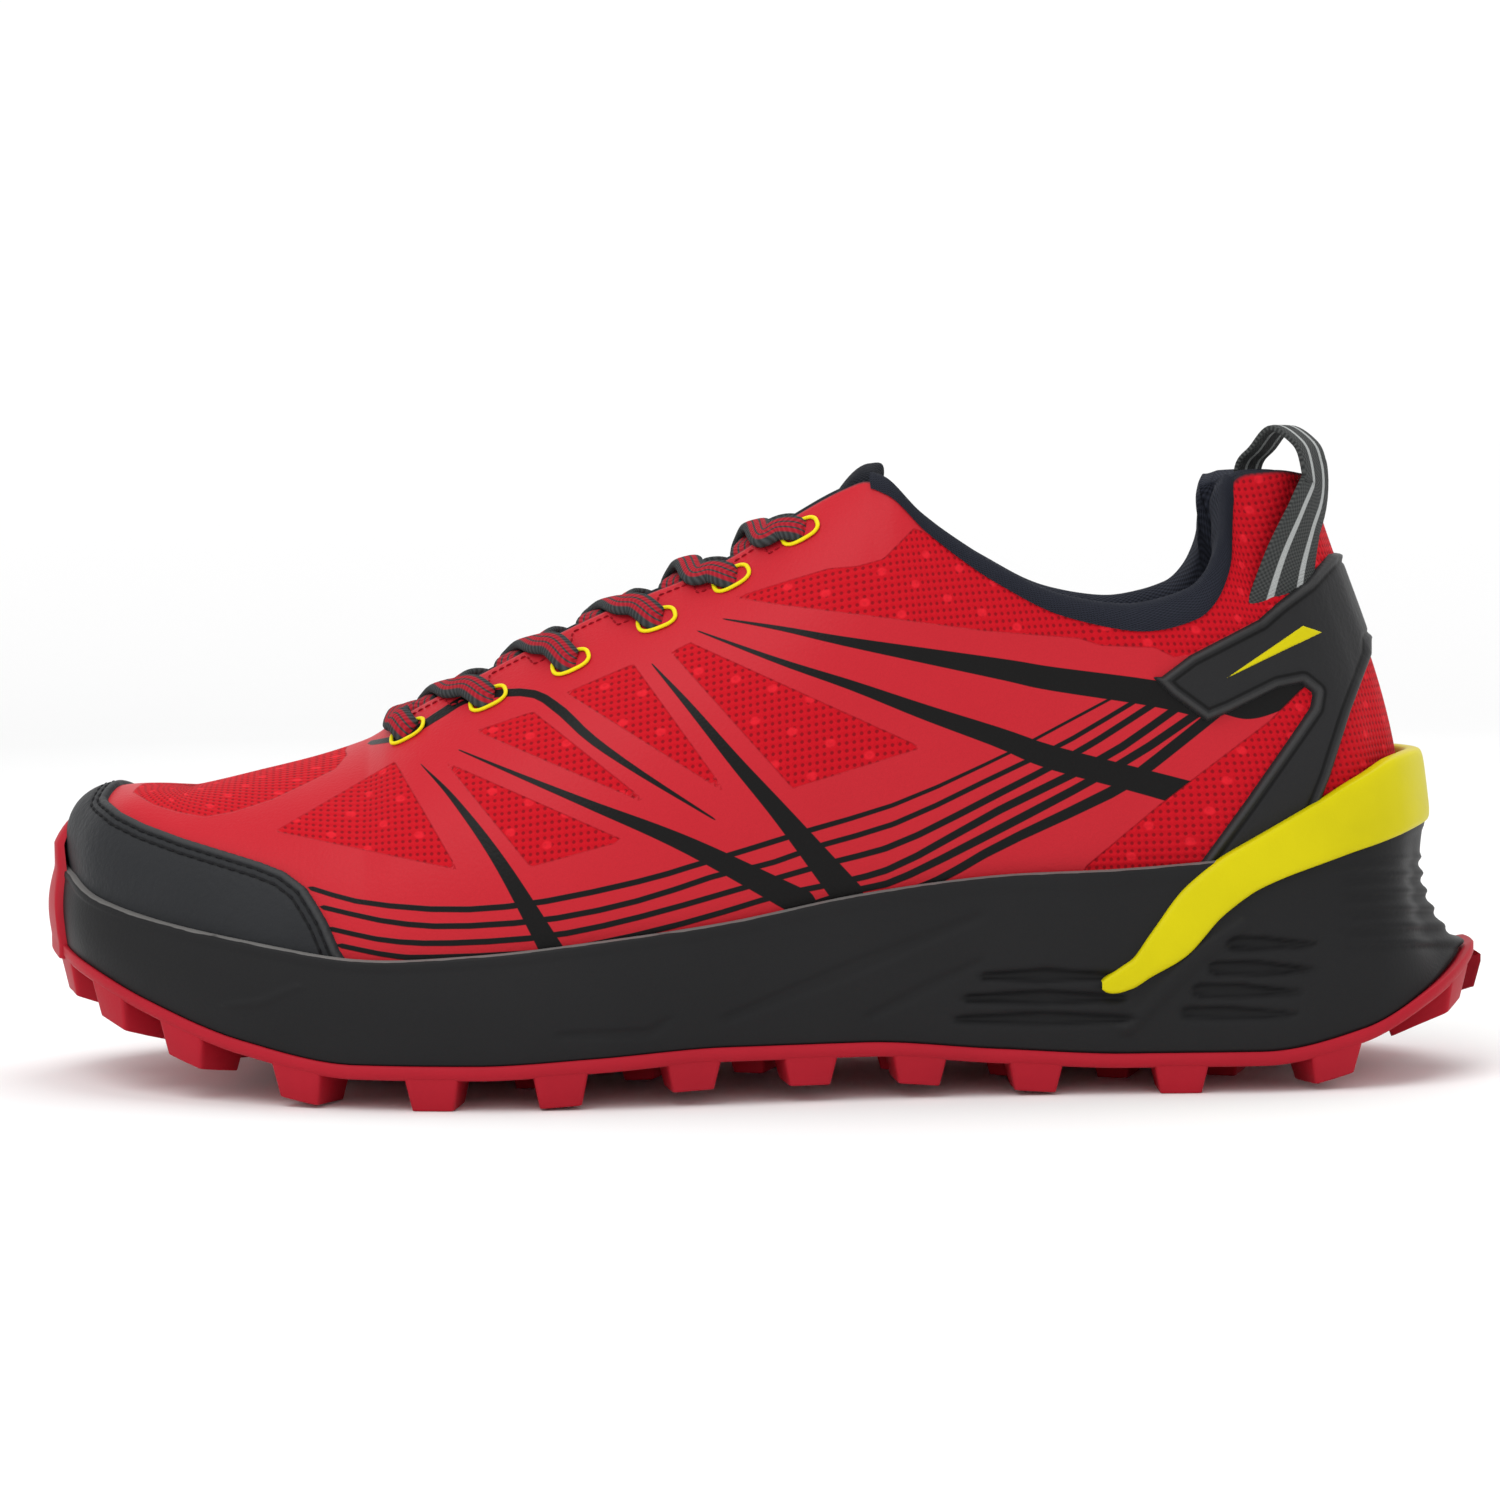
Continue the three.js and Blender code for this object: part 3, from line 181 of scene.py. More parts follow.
# Patterns are drawn in side view, in millimetres from the picture's middle, as the eye of SideView
# sees the outer side; the inner side carries their mirror image.
WINDOWS = {
    "vamp": [
        (-130.5, -6.5), (-130, -8.5), (-125, -11.5), (-120, -13), (-114.5, -14), (-108.5, -13),
        (-100.5, -10.5), (-93, -7), (-87, -4), (-84.5, -1), (-86, 2), (-88, 10.5), (-107, 12.5),
        (-126, 10.5), (-132, -2),
    ],
    "ball": [(-99.5, -17), (-74.5, -2.5), (-61.5, -25)],
    "side_1": [(-64, -2.5), (-26.5, -19), (-46, -24.5)],
    "side_2": [(-57.5, 4), (-45.5, 8), (-21, -11.5)],
    "side_3": [(-38.5, 12), (-24.5, 18), (-5, -9)],
    "side_4": [(-16.5, 20.5), (-12.5, 22.5), (36, 0.5), (9, -8)],
    "ankle": [
        (-3, 32), (6.5, 35), (16.5, 38), (22.5, 38.5), (28, 40), (32, 44), (34.5, 46.5), (44, 43),
        (56.5, 34.5), (73.5, 31.5), (88, 30.5), (97.5, 40), (99, 56.5), (103, 61), (121.5, 58.5),
        (125, 40), (117, 35.5), (111, 31), (107, 27.5), (92.5, 20), (89, 19.5), (85, 21.5),
        (73.5, 22), (69, 23.5), (49.5, 25), (30.5, 27.5), (6.5, 30.5),
    ],
    "rear": [
        (70.5, -24.5), (86, -11.5), (92.5, -6.5), (109, 6), (115.5, 12.5), (121.5, 17), (140.5, 23),
        (144.5, -2), (132, -19), (107, -27.5), (89, -29.5), (69.5, -27.5),
    ],
}
# Tapered ink strokes: place and full width at each point
RAYS = {
    "ray_1": [(-69, -3, 0.2), (-62, -10.5, 1.3), (-52.5, -23.5, 2.7), (-41, -43, 5.0)],
    "ray_2": [(-61, 0, 0.3), (-48, -5.5, 1.0), (-33.5, -11.5, 1.9), (-13, -20, 3.6), (11.5, -32.5, 5.9)],
    "ray_3": [
        (-79.5, 1.5, 1.0), (-72.5, 3, 1.3), (-65, 7.5, 1.7), (-58.5, 11, 1.7), (-46.5, 12, 1.7),
        (-40, 8.5, 2.1), (-33.5, 2.5, 1.9), (-23.5, -4.5, 1.3), (-7.5, -14.5, 0.4),
    ],
    "ray_4": [(-20.5, 18, 0.3), (-13, 9.5, 1.5), (-3, -2.5, 2.7), (7, -14, 4.0), (21, -31, 6.7)],
    "ray_5": [
        (-5.5, 27.5, 0.3), (6.5, 25.5, 1.0), (21.5, 22.5, 2.1), (52.5, 17, 4.4), (63, 15, 5.0),
        (84, 12, 5.5), (95.5, 9.5, 5.7),
    ],
    "ray_6": [
        (-11, 25, 0.3), (6.5, 18.5, 1.3), (21.5, 13.5, 2.1), (36.5, 8, 3.2), (52.5, 2.5, 4.2),
        (63, -1.5, 5.0), (82, -6.5, 5.2), (96.5, -10.5, 5.7),
    ],
    "heel_patch": [(99, 9, 2.9), (105.5, 9.5, 5.9), (115.5, 13, 5.5)],
}
# Thin parallel lines over the lower side, from the highest to the lowest
BANDS = [
    [
        (-92, -29), (-81, -32), (-62.5, -33.5), (-44.5, -32), (-23, -27.5), (-11, -24), (-2.5, -21.5),
        (12, -17), (31.5, -11), (52.5, -1.5), (63, 4), (77, 11.5),
    ],
    [
        (-89.5, -33), (-76, -36), (-62.5, -37), (-42, -35.5), (-23, -31.5), (-6, -26), (3.5, -24),
        (15, -20), (31.5, -15), (52.5, -5), (66, 1.5), (82, 11),
    ],
    [
        (-88, -37.5), (-76, -40), (-62.5, -40.5), (-42, -39), (-23, -35), (0, -28.5), (17.5, -23.5),
        (31.5, -19.5), (52.5, -9), (69.5, 0), (86, 10.5),
    ],
    [
        (-86, -41), (-76, -43), (-67, -43.5), (-40, -42), (-14.5, -36.5), (6, -30.5), (20, -27.5),
        (31.5, -24), (52.5, -12.5), (74.5, -1.5), (90.5, 9.5),
    ],
    [
        (-86, -44.5), (-67, -47), (-40, -45.5), (-14.5, -40.5), (6, -34.5), (22, -29.5), (31.5, -27),
        (52.5, -16.5), (78.5, -2.5), (95, 8.5),
    ],
    [
        (-86, -48), (-67, -50.5), (-40, -48.5), (-14.5, -44.5), (6, -39), (25, -32.5), (39, -27.5),
        (52.5, -20), (75.5, -9), (83.5, -3.5), (98, 8),
    ],
]
# Full widths of those lines at places along the shoe; the last two, below and above the lowest ray's end,
# differ from line to line.
BAND_PLACES = (-92, -60, 10, 50, 75)
BAND_START = (1.0, 1.3, 1.2)
BAND_ENDS = ((0.7, 0.6), (1.1, 1.0), (1.5, 1.4), (1.7, 1.7), (1.8, 1.8), (1.9, 2.4))
CAP_OUTLINE = [
    (-165, -60), (-165, 14), (-137.5, 14), (-136.5, 2), (-132.5, -5.5), (-134.5, -6.5), (-135.5, -8),
    (-135, -10), (-132, -12.5), (-127, -15), (-119, -18), (-111, -20.5), (-103, -23), (-98, -25),
    (-93.5, -28.5), (-91, -32.5), (-89, -36), (-86.5, -42), (-84.5, -45), (-84, -52.5),
]
COUNTER_OUTLINE = [
    (84.5, 15.5), (86.5, 15.5), (92.5, 20), (107, 27.5), (111, 31), (117, 35.5), (122.5, 41.5),
    (153, 48), (153, 23), (131, 23), (131, 20), (126.5, 8), (122, -6), (119, -13.5), (113.5, -31.5),
    (89, -32.5), (93, -26), (104, -11), (113.5, 2.5), (118, 9), (118.5, 12), (116, 14), (111, 13),
    (101, 8), (96, 6), (88.5, 11.5),
]
WEDGE_OUTLINE = [(99, 14.5), (115.5, 26), (119.5, 24.5)]
END_TAPER = 0.6
STROKE_POINTS = 26

Array = np.ndarray
Path = Sequence[Sequence[float]]
Value = Union["Socket", float, tuple]  # what a shader input takes


# Numbers


def mix(a: Array, b: Array, t: Array) -> Array:
    """Blends a into b: a + (b - a) t."""
    return a + (b - a) * t


def ease(t: Array) -> Array:
    """Smooth step 3t^2 - 2t^3 of t held between 0 and 1."""
    s = np.clip(t, 0, 1)
    return s * s * (3 - 2 * s)


def unit(v: Array) -> Array:
    """Vectors scaled to length one."""
    return v / np.maximum(np.linalg.norm(v, axis=-1, keepdims=True), 1e-12)


def steady(knots: Array, values: Array, at: Array, ends: float = 1.0) -> Array:
    """Cubic Hermite curve through knots with harmonic-mean tangents, so it never overshoots.

    Args:
        knots: rising places of the values.
        values: the values.
        at: where to read the curve.
        ends: 1 for level ends, -1 for ends that keep the last slope.

    Returns:
        The curve's values at the given places.
    """
    at = np.clip(np.asarray(at, float), knots[0], knots[-1])
    secant = np.diff(values) / np.diff(knots)
    before = np.concatenate([[-ends * secant[0]], secant])
    after = np.concatenate([secant, [-ends * secant[-1]]])
    same = before * after > 0
    slope = np.where(same, 2 * before * after / np.where(same, before + after, 1), 0)
    i = np.clip(np.searchsorted(knots, at, side="right") - 1, 0, len(knots) - 2)
    width = knots[i + 1] - knots[i]
    t = (at - knots[i]) / width
    rise = values[i + 1] - values[i]
    return (
        values[i]
        + rise * t * t * (3 - 2 * t)
        + width * t * (1 - t) * ((1 - t) * slope[i] - t * slope[i + 1])
    )


def catmull(a: Array, b: Array, c: Array, d: Array, t: Array) -> Array:
    """Catmull-Rom curve from b to c."""
    return b + 0.5 * t * (c - a + t * (2 * a - 5 * b + 4 * c - d + t * (3 * (b - c) + d - a)))


def run_length(points: Array) -> Array:
    """Distance walked down the rows of points, from 0 at the first row."""
    steps = np.linalg.norm(np.diff(points, axis=0), axis=-1)
    return np.concatenate([np.zeros((1,) + steps.shape[1:]), np.cumsum(steps, axis=0)])


def around(lateral: Array, medial: Array, place: Array) -> Array:
    """Closed Catmull-Rom curve through the lateral values, toe to heel, and the medial ones back."""
    ring = np.concatenate([lateral, medial[1:-1][::-1]])
    at = np.mod(place, LOOP)
    i = np.floor(at).astype(int)
    return catmull(*(ring[(i + k) % LOOP] for k in (-1, 0, 1, 2)), at - i)


def beside(points: Array, p: Array, q: Array) -> tuple:
    """Share of the way from p to q beside each flat point, also past the ends, and distance to p-q."""
    edge = q - p
    share = ((points - p) @ edge) / (edge @ edge)
    return share, np.linalg.norm(points - p - np.clip(share, 0, 1)[:, None] * edge, axis=1)


def polygon_depth(points: Array, outline: Path) -> Array:
    """Distance to a closed outline in the plane, positive inside it."""
    a = np.asarray(outline, float)
    b = np.roll(a, -1, axis=0)
    depth = np.full(len(points), np.inf)
    inside = np.zeros(len(points), bool)
    for p, q in zip(a, b):
        depth = np.minimum(depth, beside(points, p, q)[1])
        crosses = (p[1] > points[:, 1]) != (q[1] > points[:, 1])
        slope = (q[0] - p[0]) / ((q[1] - p[1]) or 1.0)
        inside ^= crosses & (points[:, 0] < p[0] + (points[:, 1] - p[1]) * slope)
    return np.where(inside, depth, -depth)


def stroke_depth(points: Array, stroke: Path) -> Array:
    """Depth inside a tapered stroke: half its width less the distance to its line, at the best place."""
    path = np.asarray(stroke, float)
    best = np.full(len(points), -np.inf)
    for p, q in zip(path[:-1], path[1:]):
        share, away = beside(points, p[:2], q[:2])
        best = np.maximum(best, mix(p[2], q[2], np.clip(share, 0, 1)) / 2 - away)
    return best


def stroke_side(points: Array, stroke: Path) -> tuple:
    """Signed distance to a tapered stroke's line and half the stroke's width there.

    Both change evenly from point to point, so that a shader can compare them between vertices. Past
    the stroke's ends the half width falls by END_TAPER for each millimetre.

    Args:
        points: flat places (n, 2).
        stroke: place and full width at each point of the line.

    Returns:
        Distances, positive on the left of the line, and half widths.
    """
    path = smooth_path(np.asarray(stroke, float), STROKE_POINTS)
    best = np.full(len(points), np.inf)
    side, half = np.zeros(len(points)), np.zeros(len(points))
    last = len(path) - 2
    for k, (p, q) in enumerate(zip(path[:-1], path[1:])):
        share, away = beside(points, p[:2], q[:2])
        edge, off = q[:2] - p[:2], points - p[:2]
        length = np.linalg.norm(edge)
        cross = (edge[0] * off[:, 1] - edge[1] * off[:, 0]) / length
        past = length * np.maximum((k == 0) * -share, (k == last) * (share - 1)).clip(0)
        nearer = away < best
        best = np.where(nearer, away, best)
        side = np.where(nearer, np.where(past > 0, cross, np.sign(cross) * away), side)
        width = mix(p[2], q[2], np.clip(share, 0, 1))
        half = np.where(nearer, width / 2 - END_TAPER * past, half)
    return side, half


def round_edge(depth: Array, radius: float) -> Array:
    """Height of a quarter-round edge, 0 at its foot and 1 from the radius inwards."""
    t = np.clip(depth / radius, 0, 1)
    return np.sqrt(np.clip(1 - (1 - t) ** 2, 0, 1))


@dataclass(frozen=True)
class SideView:
    """The eye that the patterns and the picture share, aimed across the shoe."""

    distance: float = 850.0
    elevation: float = math.radians(4.0)
    roll: float = math.radians(0.62)
    target: tuple = (-1.5, 0.0, 67.6)

    def axes(self) -> tuple:
        """Forward, right and up directions of the eye."""
        c, s = math.cos(self.elevation), math.sin(self.elevation)
        forward = np.array([0, c, -s])
        right0 = np.array([1.0, 0, 0])
        up0 = np.cross(right0, forward)
        cr, sr = math.cos(self.roll), math.sin(self.roll)
        return forward, cr * right0 - sr * up0, sr * right0 + cr * up0

    def eye(self) -> Array:
        """Where the eye stands."""
        return np.asarray(self.target) - self.distance * self.axes()[0]

    def seen(self, points: Array) -> Array:
        """Side-view places of points: distance (right . d) / (forward . d) and the same for up."""
        forward, right, up = self.axes()
        d = points - self.eye()
        deep = d @ forward
        return np.stack([self.distance * (d @ right) / deep, self.distance * (d @ up) / deep], axis=-1)

    def folded(self, points: Array) -> Array:
        """Side-view places with the inner side mirrored onto the outer side."""
        outer = points.copy()
        outer[..., 1] = -np.abs(outer[..., 1])
        return self.seen(outer)


VIEW = SideView()


# The last


def width_at(share: Array) -> Array:
    """Width that the outline's shares belong to, from ball to heel."""
    return mix(BALL_WIDTH, HEEL_WIDTH, ease((share - 0.45) / 0.35))


class Last:
    """The shoe's form: outline of the sole, its heights, and the ribs of the upper."""

    xs = (ALONG - 0.5) * SOLE_LENGTH
    lateral = LATERAL * width_at(ALONG)
    medial = MEDIAL * width_at(ALONG)

    def row(self, place: Array) -> Array:
        """Folds a place on the loop onto 0 at the toe and ROWS at the heel."""
        turned = np.mod(place, LOOP)
        return np.minimum(turned, LOOP - turned)

    def side(self, place: Array) -> Array:
        """-1 on the outer side, 1 on the inner side."""
        return np.where(np.mod(place, LOOP) > ROWS, 1.0, -1.0)

    def outline(self, place: Array) -> Array:
        """Outline of the sole as flat points (x, y)."""
        x = around(self.xs, self.xs, place)
        y = around(self.lateral, self.medial, place)
        return np.stack([x, y], axis=-1)

    def outward(self, place: Array) -> Array:
        """Flat outward direction of the outline."""
        d = self.outline(np.asarray(place) + 0.05) - self.outline(np.asarray(place) - 0.05)
        flat = np.stack([d[..., 1], -d[..., 0]], axis=-1)
        return unit(np.concatenate([flat, np.zeros(flat.shape[:-1] + (1,))], axis=-1))

    def rim(self, place: Array) -> Array:
        """Height of the midsole's top edge."""
        return around(RIM_HEIGHT, RIM_HEIGHT, place) * SOLE_HEIGHT

    def inset(self, place: Array) -> Array:
        """How far the rim leans in from the outline."""
        return around(INSET, INSET, place) * HEEL_WIDTH

    def bottom(self, x: Array) -> Array:
        """Height of the midsole's underside."""
        return steady(self.xs, BOTTOM * SOLE_HEIGHT, x, -1)

    def bed(self, x: Array) -> Array:
        """Height of the floor of the midsole's cup."""
        return steady(self.xs, BED * SOLE_HEIGHT, x, -1)

    def edge(self, place: Array, inset: Array, z: Array) -> Array:
        """Points inside the outline by inset, at height z."""
        place = np.asarray(place, float)
        flat = self.outline(place)
        p = np.concatenate([flat, np.zeros(flat.shape[:-1] + (1,))], axis=-1)
        p = p - self.outward(place) * np.asarray(inset, float)[..., None]
        p[..., 2] = z
        return p

    def row_at(self, x: Array) -> Array:
        """Row whose outline stands at x."""
        rows = np.linspace(0, ROWS, 1601)
        return np.interp(x, self.outline(rows)[:, 0], rows)

    def middle(self, x: Array) -> Array:
        """Middle of the outline's two sides at x."""
        row = self.row_at(x)
        return 0.5 * (self.outline(row)[..., 1] + self.outline(LOOP - row)[..., 1])

    def top_value(self, column: int, row: Array, size: float = 1.0, ends: float = 1.0) -> Array:
        """One column of the top line, at rows."""
        return steady(TOP_LINE[:, 0], TOP_LINE[:, column] * size, row, ends)

    def top(self, place: Array) -> Array:
        """Top line of the upper: ridge, throat edge and collar."""
        row = self.row(place)
        x = steady(TOP_LINE[:, 0], (TOP_LINE[:, 1] - 0.5) * SOLE_LENGTH, row)
        half = self.top_value(3, row, BALL_WIDTH, -1)
        y = self.top_value(2, row, BALL_WIDTH) + self.side(place) * half
        return np.stack([x, y, self.top_value(4, row, COLLAR_HEIGHT)], axis=-1)

    def heel(self, place: Array) -> Array:
        """How much of the heel's own side profile holds: 1 behind the heel, 0 at the sides."""
        return ease((self.row(place) - 13.2) / 1.6)

    def foot(self, place: Array) -> Array:
        """Where a rib starts, inside the rim on the bed."""
        p = self.edge(place, self.inset(place) + mix(RIM, RIM_BACK, self.heel(place)) + GAP, 0)
        p[..., 2] = self.bed(p[..., 0]) + 2 * GAP
        return p

    def upper(self, place: Array, share: Array) -> Array:
        """Outer surface of the upper: a cubic rib from foot to top line at each place.

        Args:
            place: places on the loop round the shoe.
            share: shares of the way up each rib.

        Returns:
            Points, one for each pair of place and share.
        """
        place, share = np.broadcast_arrays(np.asarray(place, float), np.asarray(share, float))
        row = self.row(place)
        foot, top = self.foot(place), self.top(place)
        reach = np.linalg.norm(top - foot, axis=-1)
        lean = np.radians(self.top_value(8, row))
        slope = np.radians(self.top_value(5, row))
        low, high = self.top_value(6, row), self.top_value(7, row)
        flat = foot - top
        flat[..., 2] = 0
        first = foot + self.outward(place) * (low * reach * np.sin(lean))[..., None]
        first[..., 2] += low * reach * np.cos(lean)
        second = top + unit(flat) * (high * reach * np.sin(slope))[..., None]
        second[..., 2] -= high * reach * np.cos(slope)
        t = share[..., None]
        return (
            (1 - t) ** 3 * foot
            + 3 * (1 - t) ** 2 * t * first
            + 3 * (1 - t) * t**2 * second
            + t**3 * top
        )

    def normal(self, place: Array, share: Array) -> Array:
        """Outward normal of the upper, from the cross product of its two directions."""
        place, share = np.broadcast_arrays(np.asarray(place, float), np.asarray(share, float))
        run = self.upper(place + 0.05, share) - self.upper(place - 0.05, share)
        rise = self.upper(place, share + 0.01) - self.upper(place, share - 0.01)
        return unit(np.cross(run, rise))

    def lie(self, place: Array, share: Array, lift: Array) -> Array:
        """Points that stand off the upper by lift."""
        return self.upper(place, share) + self.normal(place, share) * np.asarray(lift)[..., None]

    def side_point(self, place: Array, share: Array, proud: Array) -> Array:
        """The midsole's side: it leans in by inset s^1.25 with a swell of 0.9 sin(pi s).

        Behind the heel it starts 1.6 mm in, leans by s^0.45 and is hollow by 2.5 sin(pi s).
        """
        low = self.bottom(self.outline(place)[..., 0])
        within = np.clip(share, 0, 1)
        heel = self.heel(place)
        swell = mix(0.9, -2.5, heel) * np.sin(np.pi * within)
        lean = 1.6 * heel + (self.inset(place) - 1.6 * heel) * within ** mix(1.25, 0.45, heel) - swell
        return self.edge(place, lean - proud, mix(low, self.rim(place), share))

    def places(self, count: int, start: float = 0.0, stop: float = LOOP) -> Array:
        """Places on the loop that are evenly spaced along the outline."""
        fine = np.linspace(start, stop, 4001)
        run = run_length(self.outline(fine))
        return np.interp(np.linspace(0, run[-1], count), run, fine)


LAST = Last()


# Shader arithmetic


def linear(r: float, g: float, b: float) -> tuple:
    """Display colour from 0 to 255 as a linear colour with alpha."""
    out = []
    for value in (r, g, b):
        c = value / 255
        out.append(c / 12.92 if c <= 0.04045 else ((c + 0.055) / 1.055) ** 2.4)
    return (*out, 1.0)


class Graph:
    """A material's node tree, filled through sockets."""

    def __init__(self, name: str) -> None:
        self.material = bpy.data.materials.new(name)
        self.material.use_nodes = True
        self.tree = self.material.node_tree
        self.tree.nodes.clear()

    def node(
        self, kind: str, output: Union[int, str] = 0, settings: Optional[dict] = None, **inputs: Value
    ) -> "Socket":
        """Adds a node.

        Args:
            kind: node class without its ShaderNode prefix.
            output: output that the returned socket reads.
            settings: node properties.
            inputs: values or sockets; a name's underscores stand for spaces.

        Returns:
            The chosen output as a socket.
        """
        made = self.tree.nodes.new("ShaderNode" + kind)
        for key, value in (settings or {}).items():
            setattr(made, key, value)
        for key, value in inputs.items():
            self.feed(made.inputs[key.replace("_", " ")], value)
        return Socket(self, made.outputs[output])

    def feed(self, target: bpy.types.NodeSocket, value: Value) -> None:
        """Links a socket or sets a value."""
        if isinstance(value, Socket):
            self.tree.links.new(value.socket, target)
        else:
            target.default_value = value

    def layer(self, name: str) -> "Socket":
        """A number stored on the mesh."""
        return self.node("Attribute", "Fac", {"attribute_name": name, "attribute_type": "GEOMETRY"})

    def place(self) -> "Socket":
        """The object's own coordinates, in metres."""
        return self.node("TexCoord", "Object")

    def cloth(self) -> tuple:
        """The two coordinates of the cloth map."""
        flat = self.node("UVMap", "UV", {"uv_map": "cloth"})
        return flat.part("X"), flat.part("Y")

    def noise(self, where: "Socket", scale: float, detail: float = 3.0) -> "Socket":
        """Noise around 0, from -0.5 to 0.5, at a scale in waves per metre."""
        return self.node("TexNoise", "Fac", Vector=where, Scale=scale, Detail=detail) - 0.5

    def blend(self, share: "Socket", a: Value, b: Value) -> "Socket":
        """Colour a where share is 0 and b where it is 1."""
        made = self.tree.nodes.new("ShaderNodeMix")
        made.data_type = "RGBA"
        self.feed(made.inputs[0], share)
        self.feed(made.inputs[6], a)
        self.feed(made.inputs[7], b)
        return Socket(self, made.outputs[2])

    def finish(
        self,
        colour: Value,
        roughness: Value,
        height: Optional["Socket"] = None,
        glow: Optional["Socket"] = None,
        shine: float = 0.12,
    ) -> bpy.types.Material:
        """Closes the graph with one principled surface; height is in millimetres."""
        inputs = {"Base Color": colour, "Roughness": roughness}
        if glow is not None:
            inputs["Emission Color"] = glow
            inputs["Emission Strength"] = 1.0
        shader = self.tree.nodes.new("ShaderNodeBsdfPrincipled")
        for key, value in inputs.items():
            self.feed(shader.inputs[key], value)
        shader.inputs["Specular IOR Level"].default_value = shine
        if height is not None:
            bump = self.node("Bump", "Normal", Strength=1.0, Distance=MM, Height=height)
            self.feed(shader.inputs["Normal"], bump)
        out = self.tree.nodes.new("ShaderNodeOutputMaterial")
        self.tree.links.new(shader.outputs[0], out.inputs[0])
        return self.material


class Socket:
    """A node output that takes part in arithmetic."""

    def __init__(self, graph: Graph, socket: bpy.types.NodeSocket) -> None:
        self.graph = graph
        self.socket = socket

    def _math(self, operation: str, *values: Value) -> "Socket":
        """One Math node over the given values."""
        made = self.graph.tree.nodes.new("ShaderNodeMath")
        made.operation = operation
        for i, value in enumerate(values):
            self.graph.feed(made.inputs[i], value)
        return Socket(self.graph, made.outputs[0])

    def __add__(self, other: Value) -> "Socket":
        return self._math("ADD", self, other)

    def __radd__(self, other: Value) -> "Socket":
        return self._math("ADD", other, self)

    def __sub__(self, other: Value) -> "Socket":
        return self._math("SUBTRACT", self, other)

    def __rsub__(self, other: Value) -> "Socket":
        return self._math("SUBTRACT", other, self)

    def __mul__(self, other: Value) -> "Socket":
        return self._math("MULTIPLY", self, other)

    def sin(self) -> "Socket":
        """Sine of radians."""
        return self._math("SINE", self)

    def abs(self) -> "Socket":
        """Size without sign."""
        return self._math("ABSOLUTE", self)

    def turns(self, pitch: float) -> "Socket":
        """Sine that comes round after every pitch."""
        return (self * (math.tau / pitch)).sin()

    def line(self, at: float, half: float, soft: float) -> "Socket":
        """1 within half a width of a value and 0 away from it, over a soft edge."""
        return (half - (self - at).abs()).step(soft)

    def most(self, other: Value) -> "Socket":
        """The larger of two."""
        return self._math("MAXIMUM", self, other)

    def least(self, other: Value) -> "Socket":
        """The smaller of two."""
        return self._math("MINIMUM", self, other)

    def step(self, soft: float = 0.1) -> "Socket":
        """0 below zero and 1 above it, over a soft edge."""
        made = self * (1 / soft) + 0.5
        made.socket.node.use_clamp = True
        return made

    def part(self, name: str) -> "Socket":
        """One component of a vector."""
        return self.graph.node("SeparateXYZ", name, Vector=self)


# Finishes


@dataclass(frozen=True)
class Finish:
    """A material by name; each kind builds its own graph."""

    name: str

    def build(self) -> bpy.types.Material:
        """Makes the material once and returns it again afterwards."""
        name = "look_" + self.name
        return bpy.data.materials.get(name) or self.draw(Graph(name))

    def draw(self, g: Graph) -> bpy.types.Material:
        """Fills the graph."""
        raise NotImplementedError


@dataclass(frozen=True)
class ShellCloth(Finish):
    """Red mesh under a satin film with ink lines, split by the mesh's stored depths."""

    film: tuple = (181, 29, 40)
    mesh: tuple = (188, 11, 27)
    hole: tuple = (136, 7, 20)
    ink: tuple = (17, 16, 16)
    lining: tuple = (34, 36, 42)
    pale: tuple = (188, 36, 47)
    knot: tuple = (220, 30, 44)
    cell: float = 3.1
    knots: tuple = (13.0, 10.4)
    edge: float = 0.16

    def draw(self, g: Graph) -> bpy.types.Material:
        """Mesh in the windows, film round them, ink on top, lining inside."""
        (u, v), place = g.cloth(), g.place()
        window, lining = g.layer("window").step(0.35), g.layer("lining")
        lines = [g.layer(f"half_{i}") - g.layer(f"side_{i}").abs() for i in range(len(RAYS) + len(BANDS))]
        ink = lines[0].step(self.edge)
        for line in lines[1:]:
            ink = ink.most(line.step(self.edge))
        ink = ink * (1 - lining) * (1 - window)
        net = (u + v).turns(self.cell) * (u - v).turns(self.cell)
        across, along = self.knots
        knot = (u * (math.tau / across) + v * 0.2).sin() * (v * (math.tau / along) - u * 0.13).sin()
        yarn = g.blend((net + 0.5).step(0.45), linear(*self.hole), linear(*self.mesh))
        yarn = g.blend((knot - 0.86).step(0.12) * 0.7, yarn, linear(*self.knot))
        film = g.blend(g.noise(place, 60, 2) * 0.5 + 0.5, linear(*self.film), linear(*self.pale))
        colour = g.blend(ink, g.blend(window, film, yarn), linear(*self.ink))
        colour = g.blend(lining, colour, linear(*self.lining))
        rough = 0.42 + window * 0.35 - ink * 0.02 + lining * 0.4
        grain = g.noise(place, 1500, 2) * 0.08
        height = (1 - window) * 0.32 + ink * 0.05 + net * window * 0.1 + grain
        return g.finish(colour, rough, height)


